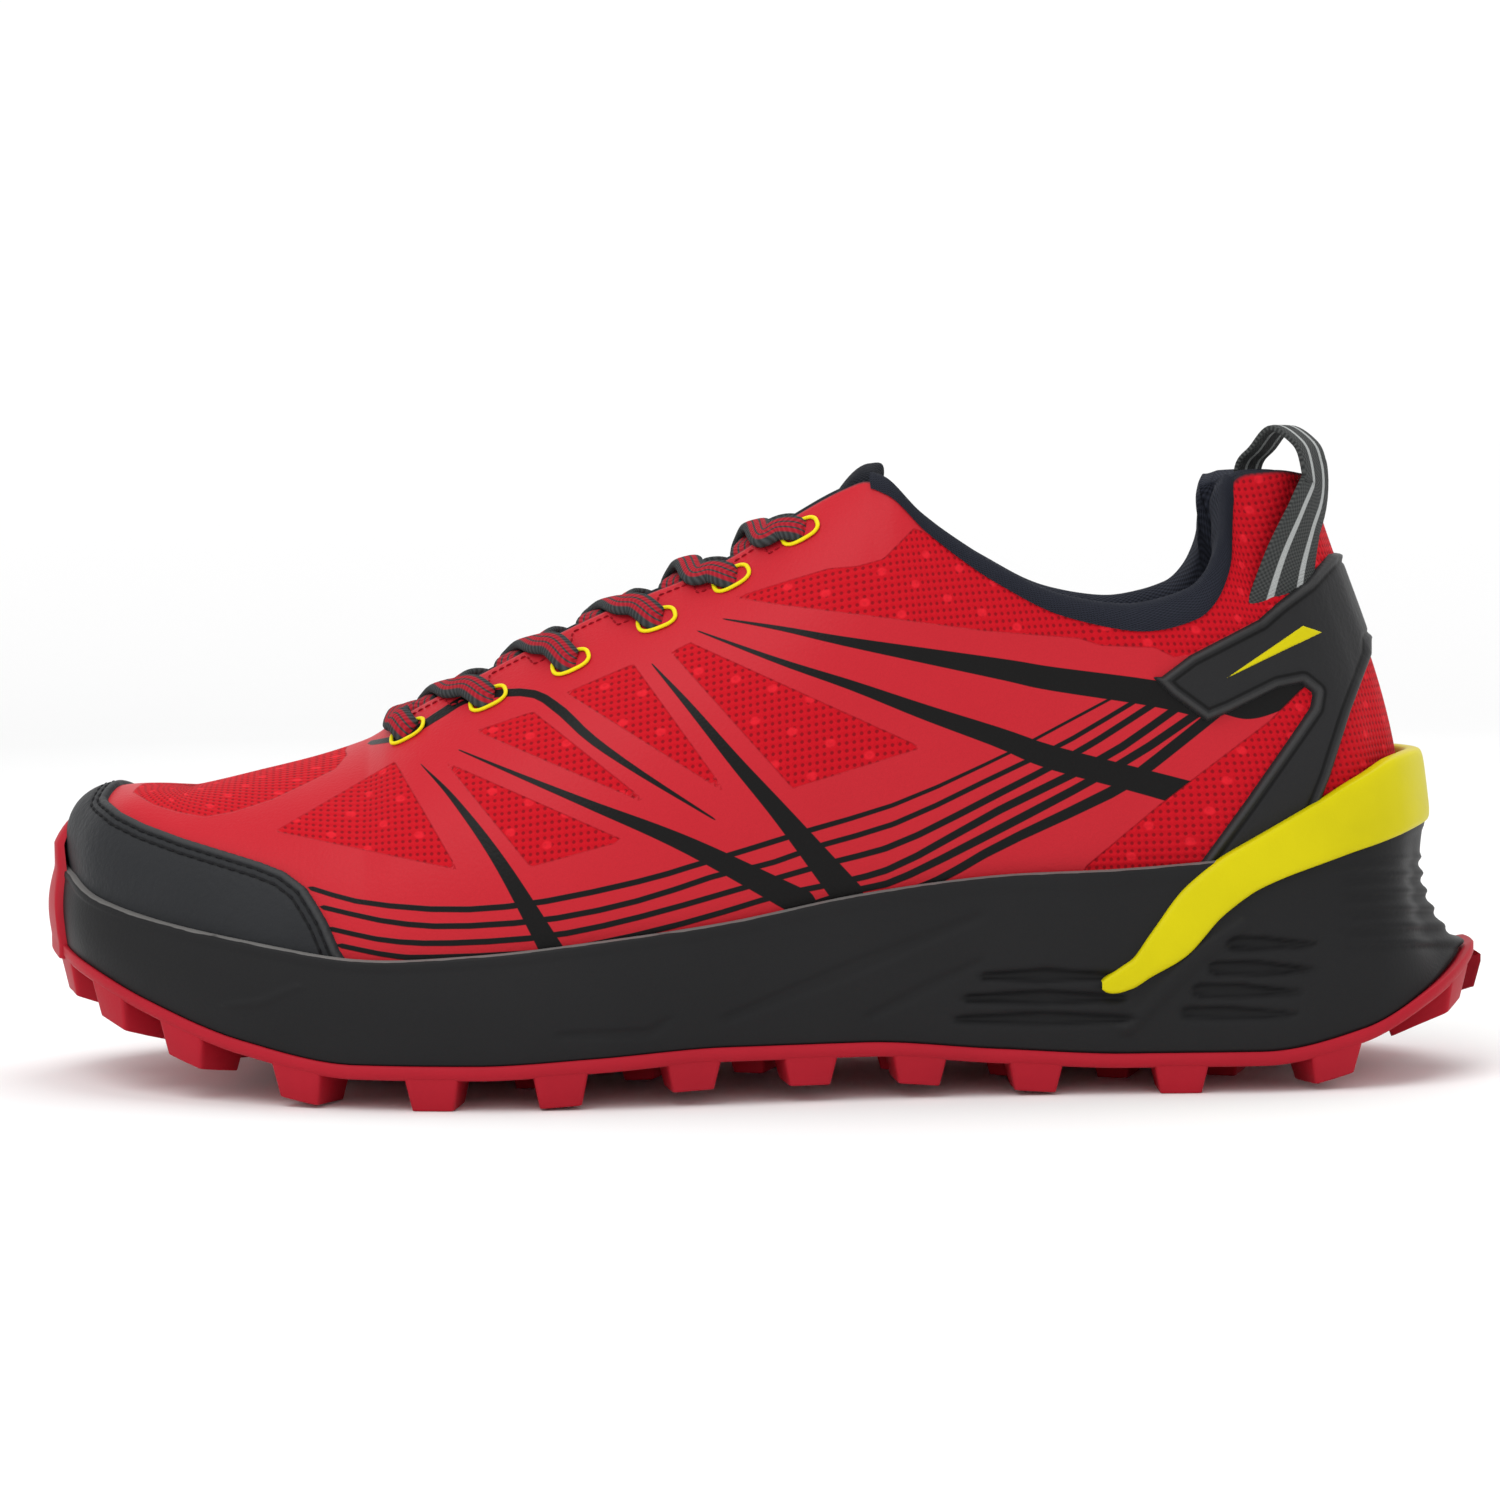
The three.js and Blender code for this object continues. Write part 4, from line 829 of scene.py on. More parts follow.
@dataclass(frozen=True)
class Coated(Finish):
    """Coated microfibre, foam skin or moulded rubber: one colour with a fine grain."""

    colour: tuple = (46, 46, 47)
    roughness: float = 0.5
    grain: float = 0.05
    scale: float = 1600.0

    def clouded(self, g: Graph) -> Socket:
        """The colour with paler clouds."""
        paler = linear(*(min(255, c * 1.12 + 3) for c in self.colour))
        return g.blend(g.noise(g.place(), 45, 3) + 0.5, linear(*self.colour), paler)

    def close(self, g: Graph, colour: Socket) -> bpy.types.Material:
        """Closes the graph with the finish's grain and a little uneven gloss."""
        place = g.place()
        height = g.noise(place, self.scale, 2) * self.grain
        return g.finish(colour, self.roughness + g.noise(place, 90, 2) * 0.12, height)

    def draw(self, g: Graph) -> bpy.types.Material:
        """Clouded colour with a grained surface."""
        return self.close(g, self.clouded(g))


@dataclass(frozen=True)
class Trimmed(Coated):
    """Coated overlay with a painted highlight along its rim and dark stitch lines deepened by painted shade
    in their grooves, from its stored depth in millimetres.
    """

    lines: tuple = (2.3,)
    # rim: colour of a painted highlight on the crest of the overlay's rounded edge
    rim: tuple = (84, 84, 84)
    # groove: colour of the stitch lines, darkened by painted shade in their grooves
    groove: tuple = (8, 8, 8)

    def draw(self, g: Graph) -> bpy.types.Material:
        """Grained coat whose colour follows the distance to the overlay's edge: a painted highlight by the
        rim, painted shade in the stitch grooves.
        """
        depth = g.layer("edge")
        # Painted highlight: a paler line about 1 mm inside the edge, on the rounded crest
        colour = g.blend(depth.line(0.95, 0.45, 0.5) * 0.3, self.clouded(g), linear(*self.rim))
        for at in self.lines:
            # Painted shade: near-black along each stitch groove, darker than the thread itself
            colour = g.blend(depth.line(at, 0.32, 0.3) * 0.75, colour, linear(*self.groove))
        return self.close(g, colour)


@dataclass(frozen=True)
class Foam(Coated):
    """Foam skin with a thin pale line of glue along its rim."""

    pale: tuple = (33, 33, 34)
    glue: tuple = (128, 126, 124)

    def draw(self, g: Graph) -> bpy.types.Material:
        """Even skin; the glue shows where its layer and a noise meet."""
        place = g.place()
        skin = g.blend(g.noise(place, 30, 3) + 0.5, linear(*self.colour), linear(*self.pale))
        glue = (g.layer("glue") - 0.62 + g.noise(place, 220, 2) * 1.3).step(0.2)
        return self.close(g, g.blend(glue * 0.7, skin, linear(*self.glue)))


@dataclass(frozen=True)
class Knit(Finish):
    """Dark knit with rows of small loops, from the cloth map."""

    colour: tuple = (38, 40, 47)
    pitch: float = 1.1
    shade: float = 0.6

    def axes(self, g: Graph) -> tuple:
        """The two ways that the loops run, in millimetres."""
        return g.cloth()

    def draw(self, g: Graph) -> bpy.types.Material:
        """Loops that stand out in the lighter colour."""
        x, y = self.axes(g)
        loops = x.turns(self.pitch) * y.turns(self.pitch)
        dark = linear(*(c * self.shade for c in self.colour))
        return g.finish(g.blend(loops * 0.5 + 0.5, dark, linear(*self.colour)), 0.9, loops * 0.12)


@dataclass(frozen=True)
class Liner(Knit):
    """The sock liner's knit, from the part's own coordinates."""

    def axes(self, g: Graph) -> tuple:
        """Along and across the shoe."""
        return g.place().part("X") * (1 / MM), g.place().part("Y") * (1 / MM)


@dataclass(frozen=True)
class Tape(Finish):
    """Webbing with two pale stripes; cloth X runs across it in millimetres."""

    dark: tuple = (44, 46, 46)
    light: tuple = (76, 78, 77)
    stripe: tuple = (168, 171, 170)
    stripe_at: float = 3.2
    stripe_half: float = 0.75

    def draw(self, g: Graph) -> bpy.types.Material:
        """Charcoal weave and grey stripes."""
        across, run = g.cloth()
        weave = run.turns(0.9) * across.turns(1.2)
        dark = g.blend(weave * 0.5 + 0.5, linear(*self.dark), linear(*self.light))
        stripe = across.abs().line(self.stripe_at, self.stripe_half, 0.2)
        return g.finish(g.blend(stripe, dark, linear(*self.stripe)), 0.8, weave * 0.1)


@dataclass(frozen=True)
class Yarn(Finish):
    """Braided lace: charcoal edges and a red middle with dark lines; cloth X runs from -1 to 1."""

    def draw(self, g: Graph) -> bpy.types.Material:
        """Braid in two colours, its threads slanting from the middle to both edges."""
        across, run = g.cloth()
        middle = (0.62 - across.abs()).step(0.12)
        line = across.abs().line(0.24, 0.07, 0.06)
        braid = (run + across.abs() * 1.6).turns(1.0)
        red = g.blend(braid * 0.2 + 0.5, linear(126, 16, 28), linear(184, 38, 52))
        dark = g.blend(braid * 0.3 + 0.5, linear(32, 34, 35), linear(70, 74, 75))
        colour = g.blend(middle * (1 - line), dark, red)
        return g.finish(colour, 0.85, braid * 0.08)


SHELL = ShellCloth("shell_cloth")
OVERLAY_COAT = Trimmed("overlay_coat", (33, 33, 34), 0.5, 0.12, 900.0)
CAP_COAT = Trimmed("cap_coat", (36, 37, 39), 0.52, 0.2, 700.0, lines=(2.0, 3.6))
FOAM = Foam("foam", (27, 27, 28), 0.5, 0.05, 1300.0)
RUBBER = Coated("outsole_rubber", (155, 23, 37), 0.5, 0.05, 900.0)
CLIP = Coated("clip_plastic", (189, 178, 0), 0.42, 0.03, 800.0)
KNIT = Knit("lining_knit")
SPACER = Knit("collar_knit", (46, 49, 60), 1.4)
LINER = Liner("liner", (40, 42, 48), 1.6, 0.56)
TAPE = Tape("webbing")
LACE = Yarn("lace_yarn")
RING = Coated("eyelet_plastic", (212, 196, 14), 0.4, 0.02, 900.0)
THREAD = Coated("thread_black", (22, 22, 24), 0.7, 0.0, 900.0)
RED_THREAD = Coated("thread_red", (130, 12, 24), 0.7, 0.0, 900.0)


# Meshes


def to_part(points: Array) -> Array:
    """Millimetres on the last to metres in the part's frame."""
    return (np.asarray(points, float) + SHIFT) * MM


def grid_faces(rows: int, columns: int, closed: bool = False, flip: bool = False) -> Array:
    """Quads of a grid stored row by row; closed joins the last column to the first."""
    count = columns if closed else columns - 1
    i, j = np.meshgrid(np.arange(rows - 1), np.arange(count), indexing="ij")
    k = (j + 1) % columns
    low, high = i * columns, (i + 1) * columns
    quads = np.stack([low + j, low + k, high + k, high + j], -1).reshape(-1, 4)
    return quads[:, ::-1] if flip else quads


def make(
    name: str,
    points: Array,
    faces: Union[Array, list],
    finish: Finish,
    layers: Optional[dict] = None,
    cloth: Optional[Array] = None,
    weld: bool = True,
) -> bpy.types.Object:
    """Makes one smooth mesh object that rides on the shoe.

    Args:
        name: object name.
        points: vertices in millimetres on the last.
        faces: rows of vertex numbers.
        finish: its material.
        layers: numbers for each vertex, by attribute name.
        cloth: flat coordinates for each vertex, stored as the cloth map.
        weld: joins vertices that lie in one place.

    Returns:
        The object.
    """
    points = np.asarray(points, float).reshape(-1, 3)
    mesh = bpy.data.meshes.new(name)
    faces = faces.tolist() if isinstance(faces, np.ndarray) else faces
    mesh.from_pydata(to_part(points).tolist(), [], faces)
    for key, values in (layers or {}).items():
        mesh.attributes.new(key, "FLOAT", "POINT").data.foreach_set(
            "value", np.ascontiguousarray(values, dtype=np.float32).ravel()
        )
    if cloth is not None:
        corner = np.empty(len(mesh.loops), dtype=np.int32)
        mesh.loops.foreach_get("vertex_index", corner)
        flat = np.asarray(cloth, dtype=np.float32).reshape(-1, 2)[corner]
        mesh.uv_layers.new(name="cloth").data.foreach_set("uv", flat.ravel())
    if weld:
        work = bmesh.new()
        work.from_mesh(mesh)
        bmesh.ops.remove_doubles(work, verts=work.verts, dist=WELD)
        work.to_mesh(mesh)
        work.free()
    mesh.polygons.foreach_set("use_smooth", np.ones(len(mesh.polygons), dtype=bool))
    mesh.materials.append(finish.build())
    made = bpy.data.objects.new(name, mesh)
    bpy.context.scene.collection.objects.link(made)
    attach(made, "root")
    return made


def join_parts(parts: Sequence[tuple]) -> tuple:
    """Stacks (points, faces, cloth) triples into one set with shifted face numbers."""
    points, faces, cloth, base = [], [], [], 0
    for part in parts:
        p = np.asarray(part[0]).reshape(-1, 3)
        points.append(p)
        faces.extend([[k + base for k in face] for face in part[1]])
        cloth.append(np.asarray(part[2]).reshape(-1, 2) if len(part) > 2 else np.zeros((len(p), 2)))
        base += len(p)
    return np.concatenate(points), faces, np.concatenate(cloth)


def sweep(points: Array, facing: Array, ring: Array) -> tuple:
    """Carries a flat ring along points.

    Args:
        points: the path, (n, 3).
        facing: direction that the ring's second axis leans to, (n, 3).
        ring: closed section as (k, 2), or one for each point as (n, k, 2).

    Returns:
        Vertices, faces with closed ends, and (first ring axis, run) for each vertex.
    """
    run = unit(np.gradient(points, axis=0))
    wide = unit(np.cross(run, facing))
    thick = np.cross(wide, run)
    ring = np.broadcast_to(ring, (len(points),) + np.asarray(ring).shape[-2:])
    body = points[:, None] + ring[..., :1] * wide[:, None] + ring[..., 1:] * thick[:, None]
    count = ring.shape[1]
    length = run_length(points)
    cloth = np.stack([ring[..., 0], np.broadcast_to(length[:, None], ring.shape[:2])], -1)
    ends = np.stack([points[0], points[-1]])
    last = (len(points) - 1) * count
    tips = len(points) * count
    k = np.arange(count)
    caps = [[tips, b, a] for a, b in zip(k, np.roll(k, -1))]
    caps += [[tips + 1, last + a, last + b] for a, b in zip(k, np.roll(k, -1))]
    faces = grid_faces(len(points), count, True, flip=True).tolist() + caps
    vertices = np.concatenate([body.reshape(-1, 3), ends])
    return vertices, faces, np.concatenate([cloth.reshape(-1, 2), [[0, 0], [0, length[-1]]]])


def oval(width: float, thickness: float, count: int = 16, power: float = 2.4) -> Array:
    """Superellipse ring |x/a|^n + |y/b|^n = 1."""
    a = np.linspace(0, math.tau, count, endpoint=False)
    x = np.sign(np.cos(a)) * np.abs(np.cos(a)) ** (2 / power)
    y = np.sign(np.sin(a)) * np.abs(np.sin(a)) ** (2 / power)
    return np.stack([x * width / 2, y * thickness / 2], -1)


def smooth_path(points: Array, count: int) -> Array:
    """Catmull-Rom curve through points, evenly divided."""
    p = np.asarray(points, float)
    p = np.concatenate([[2 * p[0] - p[1]], p, [2 * p[-1] - p[-2]]])
    at = np.linspace(0, len(p) - 3 - 1e-9, count)
    i = np.floor(at).astype(int)
    return catmull(*(p[i + k] for k in range(4)), (at - i)[:, None])


def clip_mesh(points: Array, faces: Array, depth: Array) -> tuple:
    """Keeps the part of a triangle mesh where depth is positive, cut along its zero line.

    Args:
        points: vertices (n, 3).
        faces: triangles (m, 3).
        depth: one number for each vertex, read linearly between them.

    Returns:
        New faces, and for each new vertex the pair of old ones and the share of the way between them.
    """
    inside = depth[faces] > 0
    count = inside.sum(axis=1)
    kept = [faces[count == 3]]
    pairs, index = [], {}

    def cut(a: int, b: int) -> int:
        """Number of the vertex where the edge a-b crosses zero."""
        key = (min(a, b), max(a, b))
        if key not in index:
            index[key] = len(points) + len(pairs)
            pairs.append(key)
        return index[key]

    extra = []
    crossed = (count == 1) | (count == 2)
    for tri, flags in zip(faces[crossed], inside[crossed]):
        lone = flags.sum() == 1
        k = int(np.argmax(flags) if lone else np.argmin(flags))
        a, b, c = (int(tri[(k + n) % 3]) for n in range(3))
        ab, ac = cut(a, b), cut(a, c)
        if lone:
            extra.append([a, ab, ac])
        else:
            extra.extend([[ab, b, c], [ab, c, ac]])
    all_faces = np.concatenate(kept + ([np.array(extra)] if extra else []))
    pairs = np.array(pairs, int).reshape(-1, 2)
    t = depth[pairs[:, 0]] / (depth[pairs[:, 0]] - depth[pairs[:, 1]])
    first = np.concatenate([np.arange(len(points)), pairs[:, 0]])
    second = np.concatenate([np.arange(len(points)), pairs[:, 1]])
    share = np.concatenate([np.zeros(len(points)), t])
    used, packed = np.unique(all_faces, return_inverse=True)
    return packed.reshape(all_faces.shape), (first[used], second[used], share[used])


# Pieces


class Side(Enum):
    """The two sides of the shoe."""

    OUTER = -1
    INNER = 1


@dataclass(frozen=True)
class Pattern:
    """Film windows, ink strokes and thin lines over the upper, read in side view."""

    def layers(self, points: Array) -> dict:
        """Depths of the pattern's parts at points of the upper, in millimetres."""
        flat = VIEW.folded(points)
        made = {"window": np.max([polygon_depth(flat, p) for p in WINDOWS.values()], axis=0)}
        strokes = [*RAYS.values()]
        for line, ends in zip(BANDS, BAND_ENDS):
            width = np.interp(np.array(line)[:, 0], BAND_PLACES, [*BAND_START, *ends])
            strokes.append(np.column_stack([line, width]))
        for i, stroke in enumerate(strokes):
            made[f"side_{i}"], made[f"half_{i}"] = stroke_side(flat, stroke)
        return made


@dataclass
class Upper:
    """The hollow shell: outer face with its pattern, turned edge and lining, in one grid."""

    columns: int = 700
    rows: int = 92
    inner_rows: int = 16
    pattern: Pattern = Pattern()

    def build(self) -> bpy.types.Object:
        """Outer rows rise to the top line, a half round crosses the wall, inner rows go down again."""
        place = LAST.places(self.columns + 1)[:-1]
        up = np.linspace(0.02, 1, self.rows)
        share = np.concatenate([up, np.ones(3), np.linspace(0.97, 0.02, self.inner_rows)])
        turn = np.radians([0] * self.rows + [45, 90, 135] + [180] * self.inner_rows)
        depth, lift = WALL / 2 * (1 - np.cos(turn)), WALL / 2 * np.sin(turn)
        p, s = np.meshgrid(place, share, indexing="xy")
        held = np.minimum(s, EDGE_SHARE)
        rise = unit(LAST.upper(p, held) - LAST.upper(p, held - 0.02))
        open_here = ease((LAST.row(p) - CLOSED_TO) / 0.2)
        points = LAST.upper(p, s) - LAST.normal(p, held) * depth[:, None, None]
        points = points + rise * (lift[:, None] * open_here)[..., None]
        flat = points.reshape(-1, 3)
        layers = self.pattern.layers(flat)
        layers["lining"] = np.repeat((depth > 0.2).astype(float), len(place))
        faces = grid_faces(len(share), len(place), True)
        made = make("upper_shell", flat, faces, SHELL, layers, self.cloth(points))
        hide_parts("upper")
        return made

    def cloth(self, points: Array) -> Array:
        """Cloth map in millimetres: run along the shoe at half height, and way up each rib."""
        rise = run_length(points)
        return np.stack([np.broadcast_to(run_length(points[self.rows // 2]), rise.shape), rise], -1)


@dataclass
class Overlay:
    """A layer on the upper inside a side-view outline, with a rounded edge and a stitched groove."""

    name: str
    outline: Path
    rows: tuple
    finish: Finish
    node: str = ""
    slot: str = ""
    height: float = OVERLAY
    radius: float = 1.0
    groove: tuple = ()
    bead: float = 0.0
    base: float = 0.0
    step: float = 0.8
    shares: tuple = (0.05, 0.995)
    height_span: float = 95.0
    sunk: float = 0.15
    groove_depth: float = 0.28
    bead_at: float = 1.1

    def lift(self, depth: Array) -> Array:
        """Height over the upper: quarter-round edge, less stitch grooves, plus a bead near the edge."""
        rise = self.base - self.sunk + (self.height + self.sunk) * round_edge(depth, self.radius)
        for at in self.groove:
            rise = rise - self.groove_depth * np.exp(-(((depth - at) / 0.4) ** 2))
        return rise + self.bead * np.exp(-(((depth - self.bead_at) / 0.5) ** 2))

    def patch(self, start: float, stop: float) -> tuple:
        """One stretch of the layer: a fine grid of the upper, clipped by the outline's depth and raised."""
        span = run_length(LAST.outline(np.linspace(start, stop, 400)))[-1]
        place = LAST.places(int(span / self.step), start, stop)
        share = np.linspace(*self.shares, int(self.height_span / self.step))
        p, s = np.meshgrid(place, share, indexing="xy")
        base = LAST.upper(p, s).reshape(-1, 3)
        normal = LAST.normal(p, s).reshape(-1, 3)
        depth = polygon_depth(VIEW.folded(base + normal * self.height), self.outline)
        quads = grid_faces(len(share), len(place))
        triangles = np.concatenate([quads[:, [0, 1, 2]], quads[:, [0, 2, 3]]])
        faces, (a, b, t) = clip_mesh(base, triangles, depth)
        t = t[:, None]
        where, way = mix(base[a], base[b], t), unit(mix(normal[a], normal[b], t))
        inside = np.maximum(mix(depth[a], depth[b], t[:, 0]), 0)
        return where + way * self.lift(inside)[:, None], faces, np.column_stack([inside, inside])

    def build(self) -> bpy.types.Object:
        """Joins the layer's stretches into one object."""
        points, faces, inside = join_parts([self.patch(start, stop) for start, stop in self.rows])
        made = make(self.name, points, faces, self.finish, {"edge": inside[:, 0]})
        if self.node:
            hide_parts(self.node)
        return made

    def seam(self, inset: float) -> tuple:
        """Places and shares of the line that runs inside the outline by inset, one for each rib."""
        start, stop = self.rows[0]
        place, share = np.linspace(start, stop, 700), np.linspace(0.99, 0.1, 260)
        p, s = np.meshgrid(place, share, indexing="ij")
        base = LAST.upper(p, s) + LAST.normal(p, s) * self.height
        depth = polygon_depth(VIEW.folded(base.reshape(-1, 3)), self.outline).reshape(p.shape) - inset
        k = np.argmax(depth > 0, axis=1)
        found = (k > 0) & (depth.max(axis=1) > 0)
        i, k = np.nonzero(found)[0], k[found]
        t = depth[i, k - 1] / (depth[i, k - 1] - depth[i, k])
        return place[found], mix(share[k - 1], share[k], t)


def throat_seam(near: float, low: float) -> tuple:
    """Places and shares of the outer side's seam by the throat.

    From each lace row it runs near the edge and steps down, half way to the next row, to the low
    distance.
    """
    place, share = np.linspace(5.5, 8.6, 360), np.linspace(1, 0.6, 90)
    p, s = np.meshgrid(place, share, indexing="xy")
    run = run_length(LAST.upper(p, s)).T
    phase = np.mod(np.interp(place, LACE_ROWS, np.arange(len(LACE_ROWS))), 1)
    distance = mix(near, low, ease((phase - 0.42) / 0.14))
    return place, np.array([np.interp(d, r, share) for d, r in zip(distance, run)])


@dataclass
class Stitching:
    """A row of stitches along a line on the upper."""

    name: str
    seams: Sequence[tuple]
    lift: float
    finish: Finish = THREAD
    pitch: float = 2.6
    width: float = 0.55
    filled: float = 0.78
    arch: float = 0.18
    sunk: float = 0.1

    def stitches(self, place: Array, share: Array) -> list:
        """Small ovals half sunk in the surface, one for each stitch of a line."""
        line = LAST.lie(place, share, np.full(len(place), self.lift))
        run, t = run_length(line), np.linspace(0, 1, 5)
        size = np.sqrt(np.clip(1 - (2 * t - 1) ** 4, 0.05, 1))
        ring = oval(self.width, self.width, 6, 2)[None] * size[:, None, None]
        rise = self.lift + self.arch * np.sin(np.pi * t) - self.sunk
        parts = []
        for start in np.arange(0.3, run[-1] - self.pitch, self.pitch):
            at = start + t * self.filled * self.pitch
            p, s = np.interp(at, run, place), np.interp(at, run, share)
            parts.append(sweep(LAST.lie(p, s, rise), LAST.normal(p, s), ring))
        return parts

    def build(self) -> bpy.types.Object:
        """All lines in one object."""
        parts = [part for seam in self.seams for part in self.stitches(*seam)]
        points, faces, cloth = join_parts(parts)
        return make(self.name, points, faces, self.finish, cloth=cloth, weld=False)


@dataclass
class Collar:
    """Padded ankle edge: rolled binding above the upper and the lining pad inside it."""

    columns: int = 420
    rows: int = 40
    # Depth at the sides and at the tab, shares of the wall and of the padding on top of it, then height as a
    # share of the binding's height and in mm at the sides, and in mm at the tab
    roll: tuple = (
        (-0.35, 2.1, 0, 0, 0.0, -1.2, -0.4),
        (-0.5, 2.0, 0, 0, 0.2, 0.0, 0.3),
        (0.0, 2.2, 0, 0, 0.7, 0.0, 0.9),
        (1.3, 3.0, 0, 0, 1.0, 0.0, 1.5),
        (0.8, 1.8, 1, 0, 1.0, 0.4, 1.7),
        (-1.0, -1.0, 1, 1, 0.6, 0.0, 0.2),
        (0.0, 0.0, 1, 1, 0.0, -2.0, -2.0),
    )
    # Share of the way down to the pad's lower edge, share of the padding and depth in mm
    pad: tuple = ((0.5, 1, -0.5), (0.8, 1, -2.5), (1.0, 0, 0.5))
    flat_height: float = 55.0

    def build(self) -> bpy.types.Object:
        """Sections of the pad at places round the ankle, smoothed into a closed ring."""
        place = LAST.places(self.columns, LACED_TO + 0.05, LOOP - LACED_TO - 0.05)
        top = LAST.top(place)
        reach = np.linalg.norm(top - LAST.foot(place), axis=1)
        up = unit(LAST.upper(place, EDGE_SHARE) - LAST.upper(place, EDGE_SHARE - 0.02))
        out = LAST.normal(place, np.full(len(place), 0.97))
        row = LAST.row(place)
        tab = ease((row - 13.1) / 0.6)
        fuller = ease((row - 10.8) / 0.8) * (1 - ease((row - 13) / 0.4))
        height = BINDING * mix(1, 0.2, tab) * (1 + 0.32 * fuller)
        padding = mix(PADDING, PADDING_BACK, ease((row - 11.5) / 1.2))
        down = 1 - np.minimum(0.42, PADDING_DEPTH / reach)
        inside = WALL + 2 * GAP

        section = []
        for side, at_tab, wall, pad, share, lift, lift_at_tab in self.roll:
            depth = mix(side, at_tab, tab) + wall * inside + pad * padding
            rise = mix(share * height + lift, lift_at_tab, tab)
            section.append(top - out * depth[:, None] + up * rise[:, None])
        for way, pad, depth in self.pad:
            section.append(LAST.lie(place, mix(1, down, way), -(inside + pad * padding + depth)))
        fine = np.stack([smooth_path(s, self.rows) for s in np.stack(section, axis=1)], axis=1)
        rise = np.linspace(0, self.flat_height, self.rows)
        cloth = np.stack(np.broadcast_arrays(run_length(top)[None, :], rise[:, None]), -1)
        faces = grid_faces(self.rows, len(place))
        made = make("collar_lining", fine, faces, SPACER, cloth=cloth)
        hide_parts("collar_padding")
        return made


@dataclass
class Tongue:
    """Pad under the throat, arched between the two edges, thick at the top."""

    across: int = 41
    shares: tuple = (0.74, 0.82, 0.9, 0.97)
    rows: tuple = (4.75, 8.8)
    bulge: float = 0.1
    narrowing: float = 0.44
    tip_drop: float = 6.0
    backing: float = 1.3
    flat_width: float = 50.0
    rim_steps: int = 9

    def section(self, row: float, depth: float) -> Array:
        """One line across the tongue at a row: both sides against the upper, an arch between."""
        near = LAST.lie(row, np.array(self.shares), np.full(len(self.shares), -depth))
        far = LAST.lie(LOOP - row, np.array(self.shares), np.full(len(self.shares), -depth))[::-1]
        a, b = near[-1], far[0]
        bulge = self.bulge * np.linalg.norm(a - b) * (row > CLOSED_TO)
        arch = np.array([mix(a, b, t) + [0, 0, bulge * 4 * t * (1 - t)] for t in (0.17, 0.5, 0.83)])
        return np.concatenate([near, arch, far])

    def sheet(self, thick: Callable) -> Array:
        """All lines of one face, with the tip beyond the last eyelet row."""
        lines = [self.section(r, WALL + self.backing + thick(r)) for r in np.linspace(*self.rows, 40)]
        x, y, z = lines[-1].T
        middle = len(x) // 2
        level = np.maximum(z, z[middle] - self.tip_drop)
        for t in np.linspace(0.1, 1, 12):
            narrow = 1 - self.narrowing * ease(t / 0.55)
            back = TIP_REACH * t - 0.15 * np.abs(y - y[middle]) * t
            rise = TIP_RISE * math.sin(t * math.pi / 2)
            lines.append(np.stack([x + back, mix(y[middle], y, narrow), mix(z, level, t) + rise], -1))
        return np.stack([smooth_path(line, self.across) for line in lines])

    def build(self) -> bpy.types.Object:
        """Outer and inner face joined round their edges."""
        outer = self.sheet(lambda r: 0.0)
        inner = self.sheet(lambda r: mix(TONGUE_THIN, TONGUE_PADDED, ease((r - 7) / 1.5)))
        t = np.linspace(0, 1, self.rim_steps)[1:-1, None, None]
        rim = mix(outer[-1], inner[-1], t) + np.sin(np.pi * t) * [1.2, 0, 1.6]
        points = np.concatenate([outer, rim, inner[::-1]])
        across = np.linspace(0, self.flat_width, self.across)[None, :]
        cloth = np.stack(np.broadcast_arrays(across, run_length(points).mean(1)[:, None]), -1)
        faces = grid_faces(len(points), self.across, flip=True)
        made = make("tongue_pad", points, faces, KNIT, cloth=cloth)
        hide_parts("tongue")
        return made


@dataclass
class PullLoop:
    """Folded tape at the back of the collar."""

    shares: tuple = (0.64, 0.75, 0.87, 0.96)
    lifts: tuple = (-3.4, -1.2, -0.1, 0.5)
    points: int = 72

    def path(self) -> tuple:
        """Centre line of the tape and the way its flat side faces."""
        place = ROWS - LOOP_TURN
        top, out = LAST.top(np.array([place]))[0], LAST.outward(np.array([place]))[0]
        inside = WALL + GAP + PADDING + GAP + 0.9
        share = np.array(self.shares)
        slanted = place - LOOP_SLANT * (share[-1] - share) / 0.24
        normal = LAST.normal(slanted, share)
        outer = LAST.lie(slanted, share, GAP + LOOP_WEBBING + np.array(self.lifts))
        bends = (
            (-2.4, 3),
            (-0.6, LOOP_REACH - 2),
            (inside / 2, LOOP_REACH + 1),
            (inside - 0.5, LOOP_REACH - 3),
            (inside + 2.6, 2),
            (inside + 3, -8),
        )
        over = np.array([top - out * d + [0, 0, z] for d, z in bends])
        level = np.array([out[1], -out[0], 0])
        across = unit(np.cross(normal, unit(outer[-1] - outer[0])))
        across = mix(across, level, np.linspace(0, 1, len(share))[:, None])
        centre = smooth_path(np.concatenate([outer, over]), self.points)
        wide = smooth_path(np.concatenate([across, np.broadcast_to(level, over.shape)]), self.points)
        run = unit(np.gradient(centre, axis=0))
        return centre, unit(np.cross(wide, run))

    def build(self) -> bpy.types.Object:
        """Sweeps a flat section along the loop."""
        centre, facing = self.path()
        ring = oval(LOOP_WIDTH, LOOP_WEBBING, 40, 5)
        points, faces, cloth = sweep(centre, facing, ring)
        made = make("pull_tape", points, faces, TAPE, cloth=cloth)
        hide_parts("pull_loop")
        return made


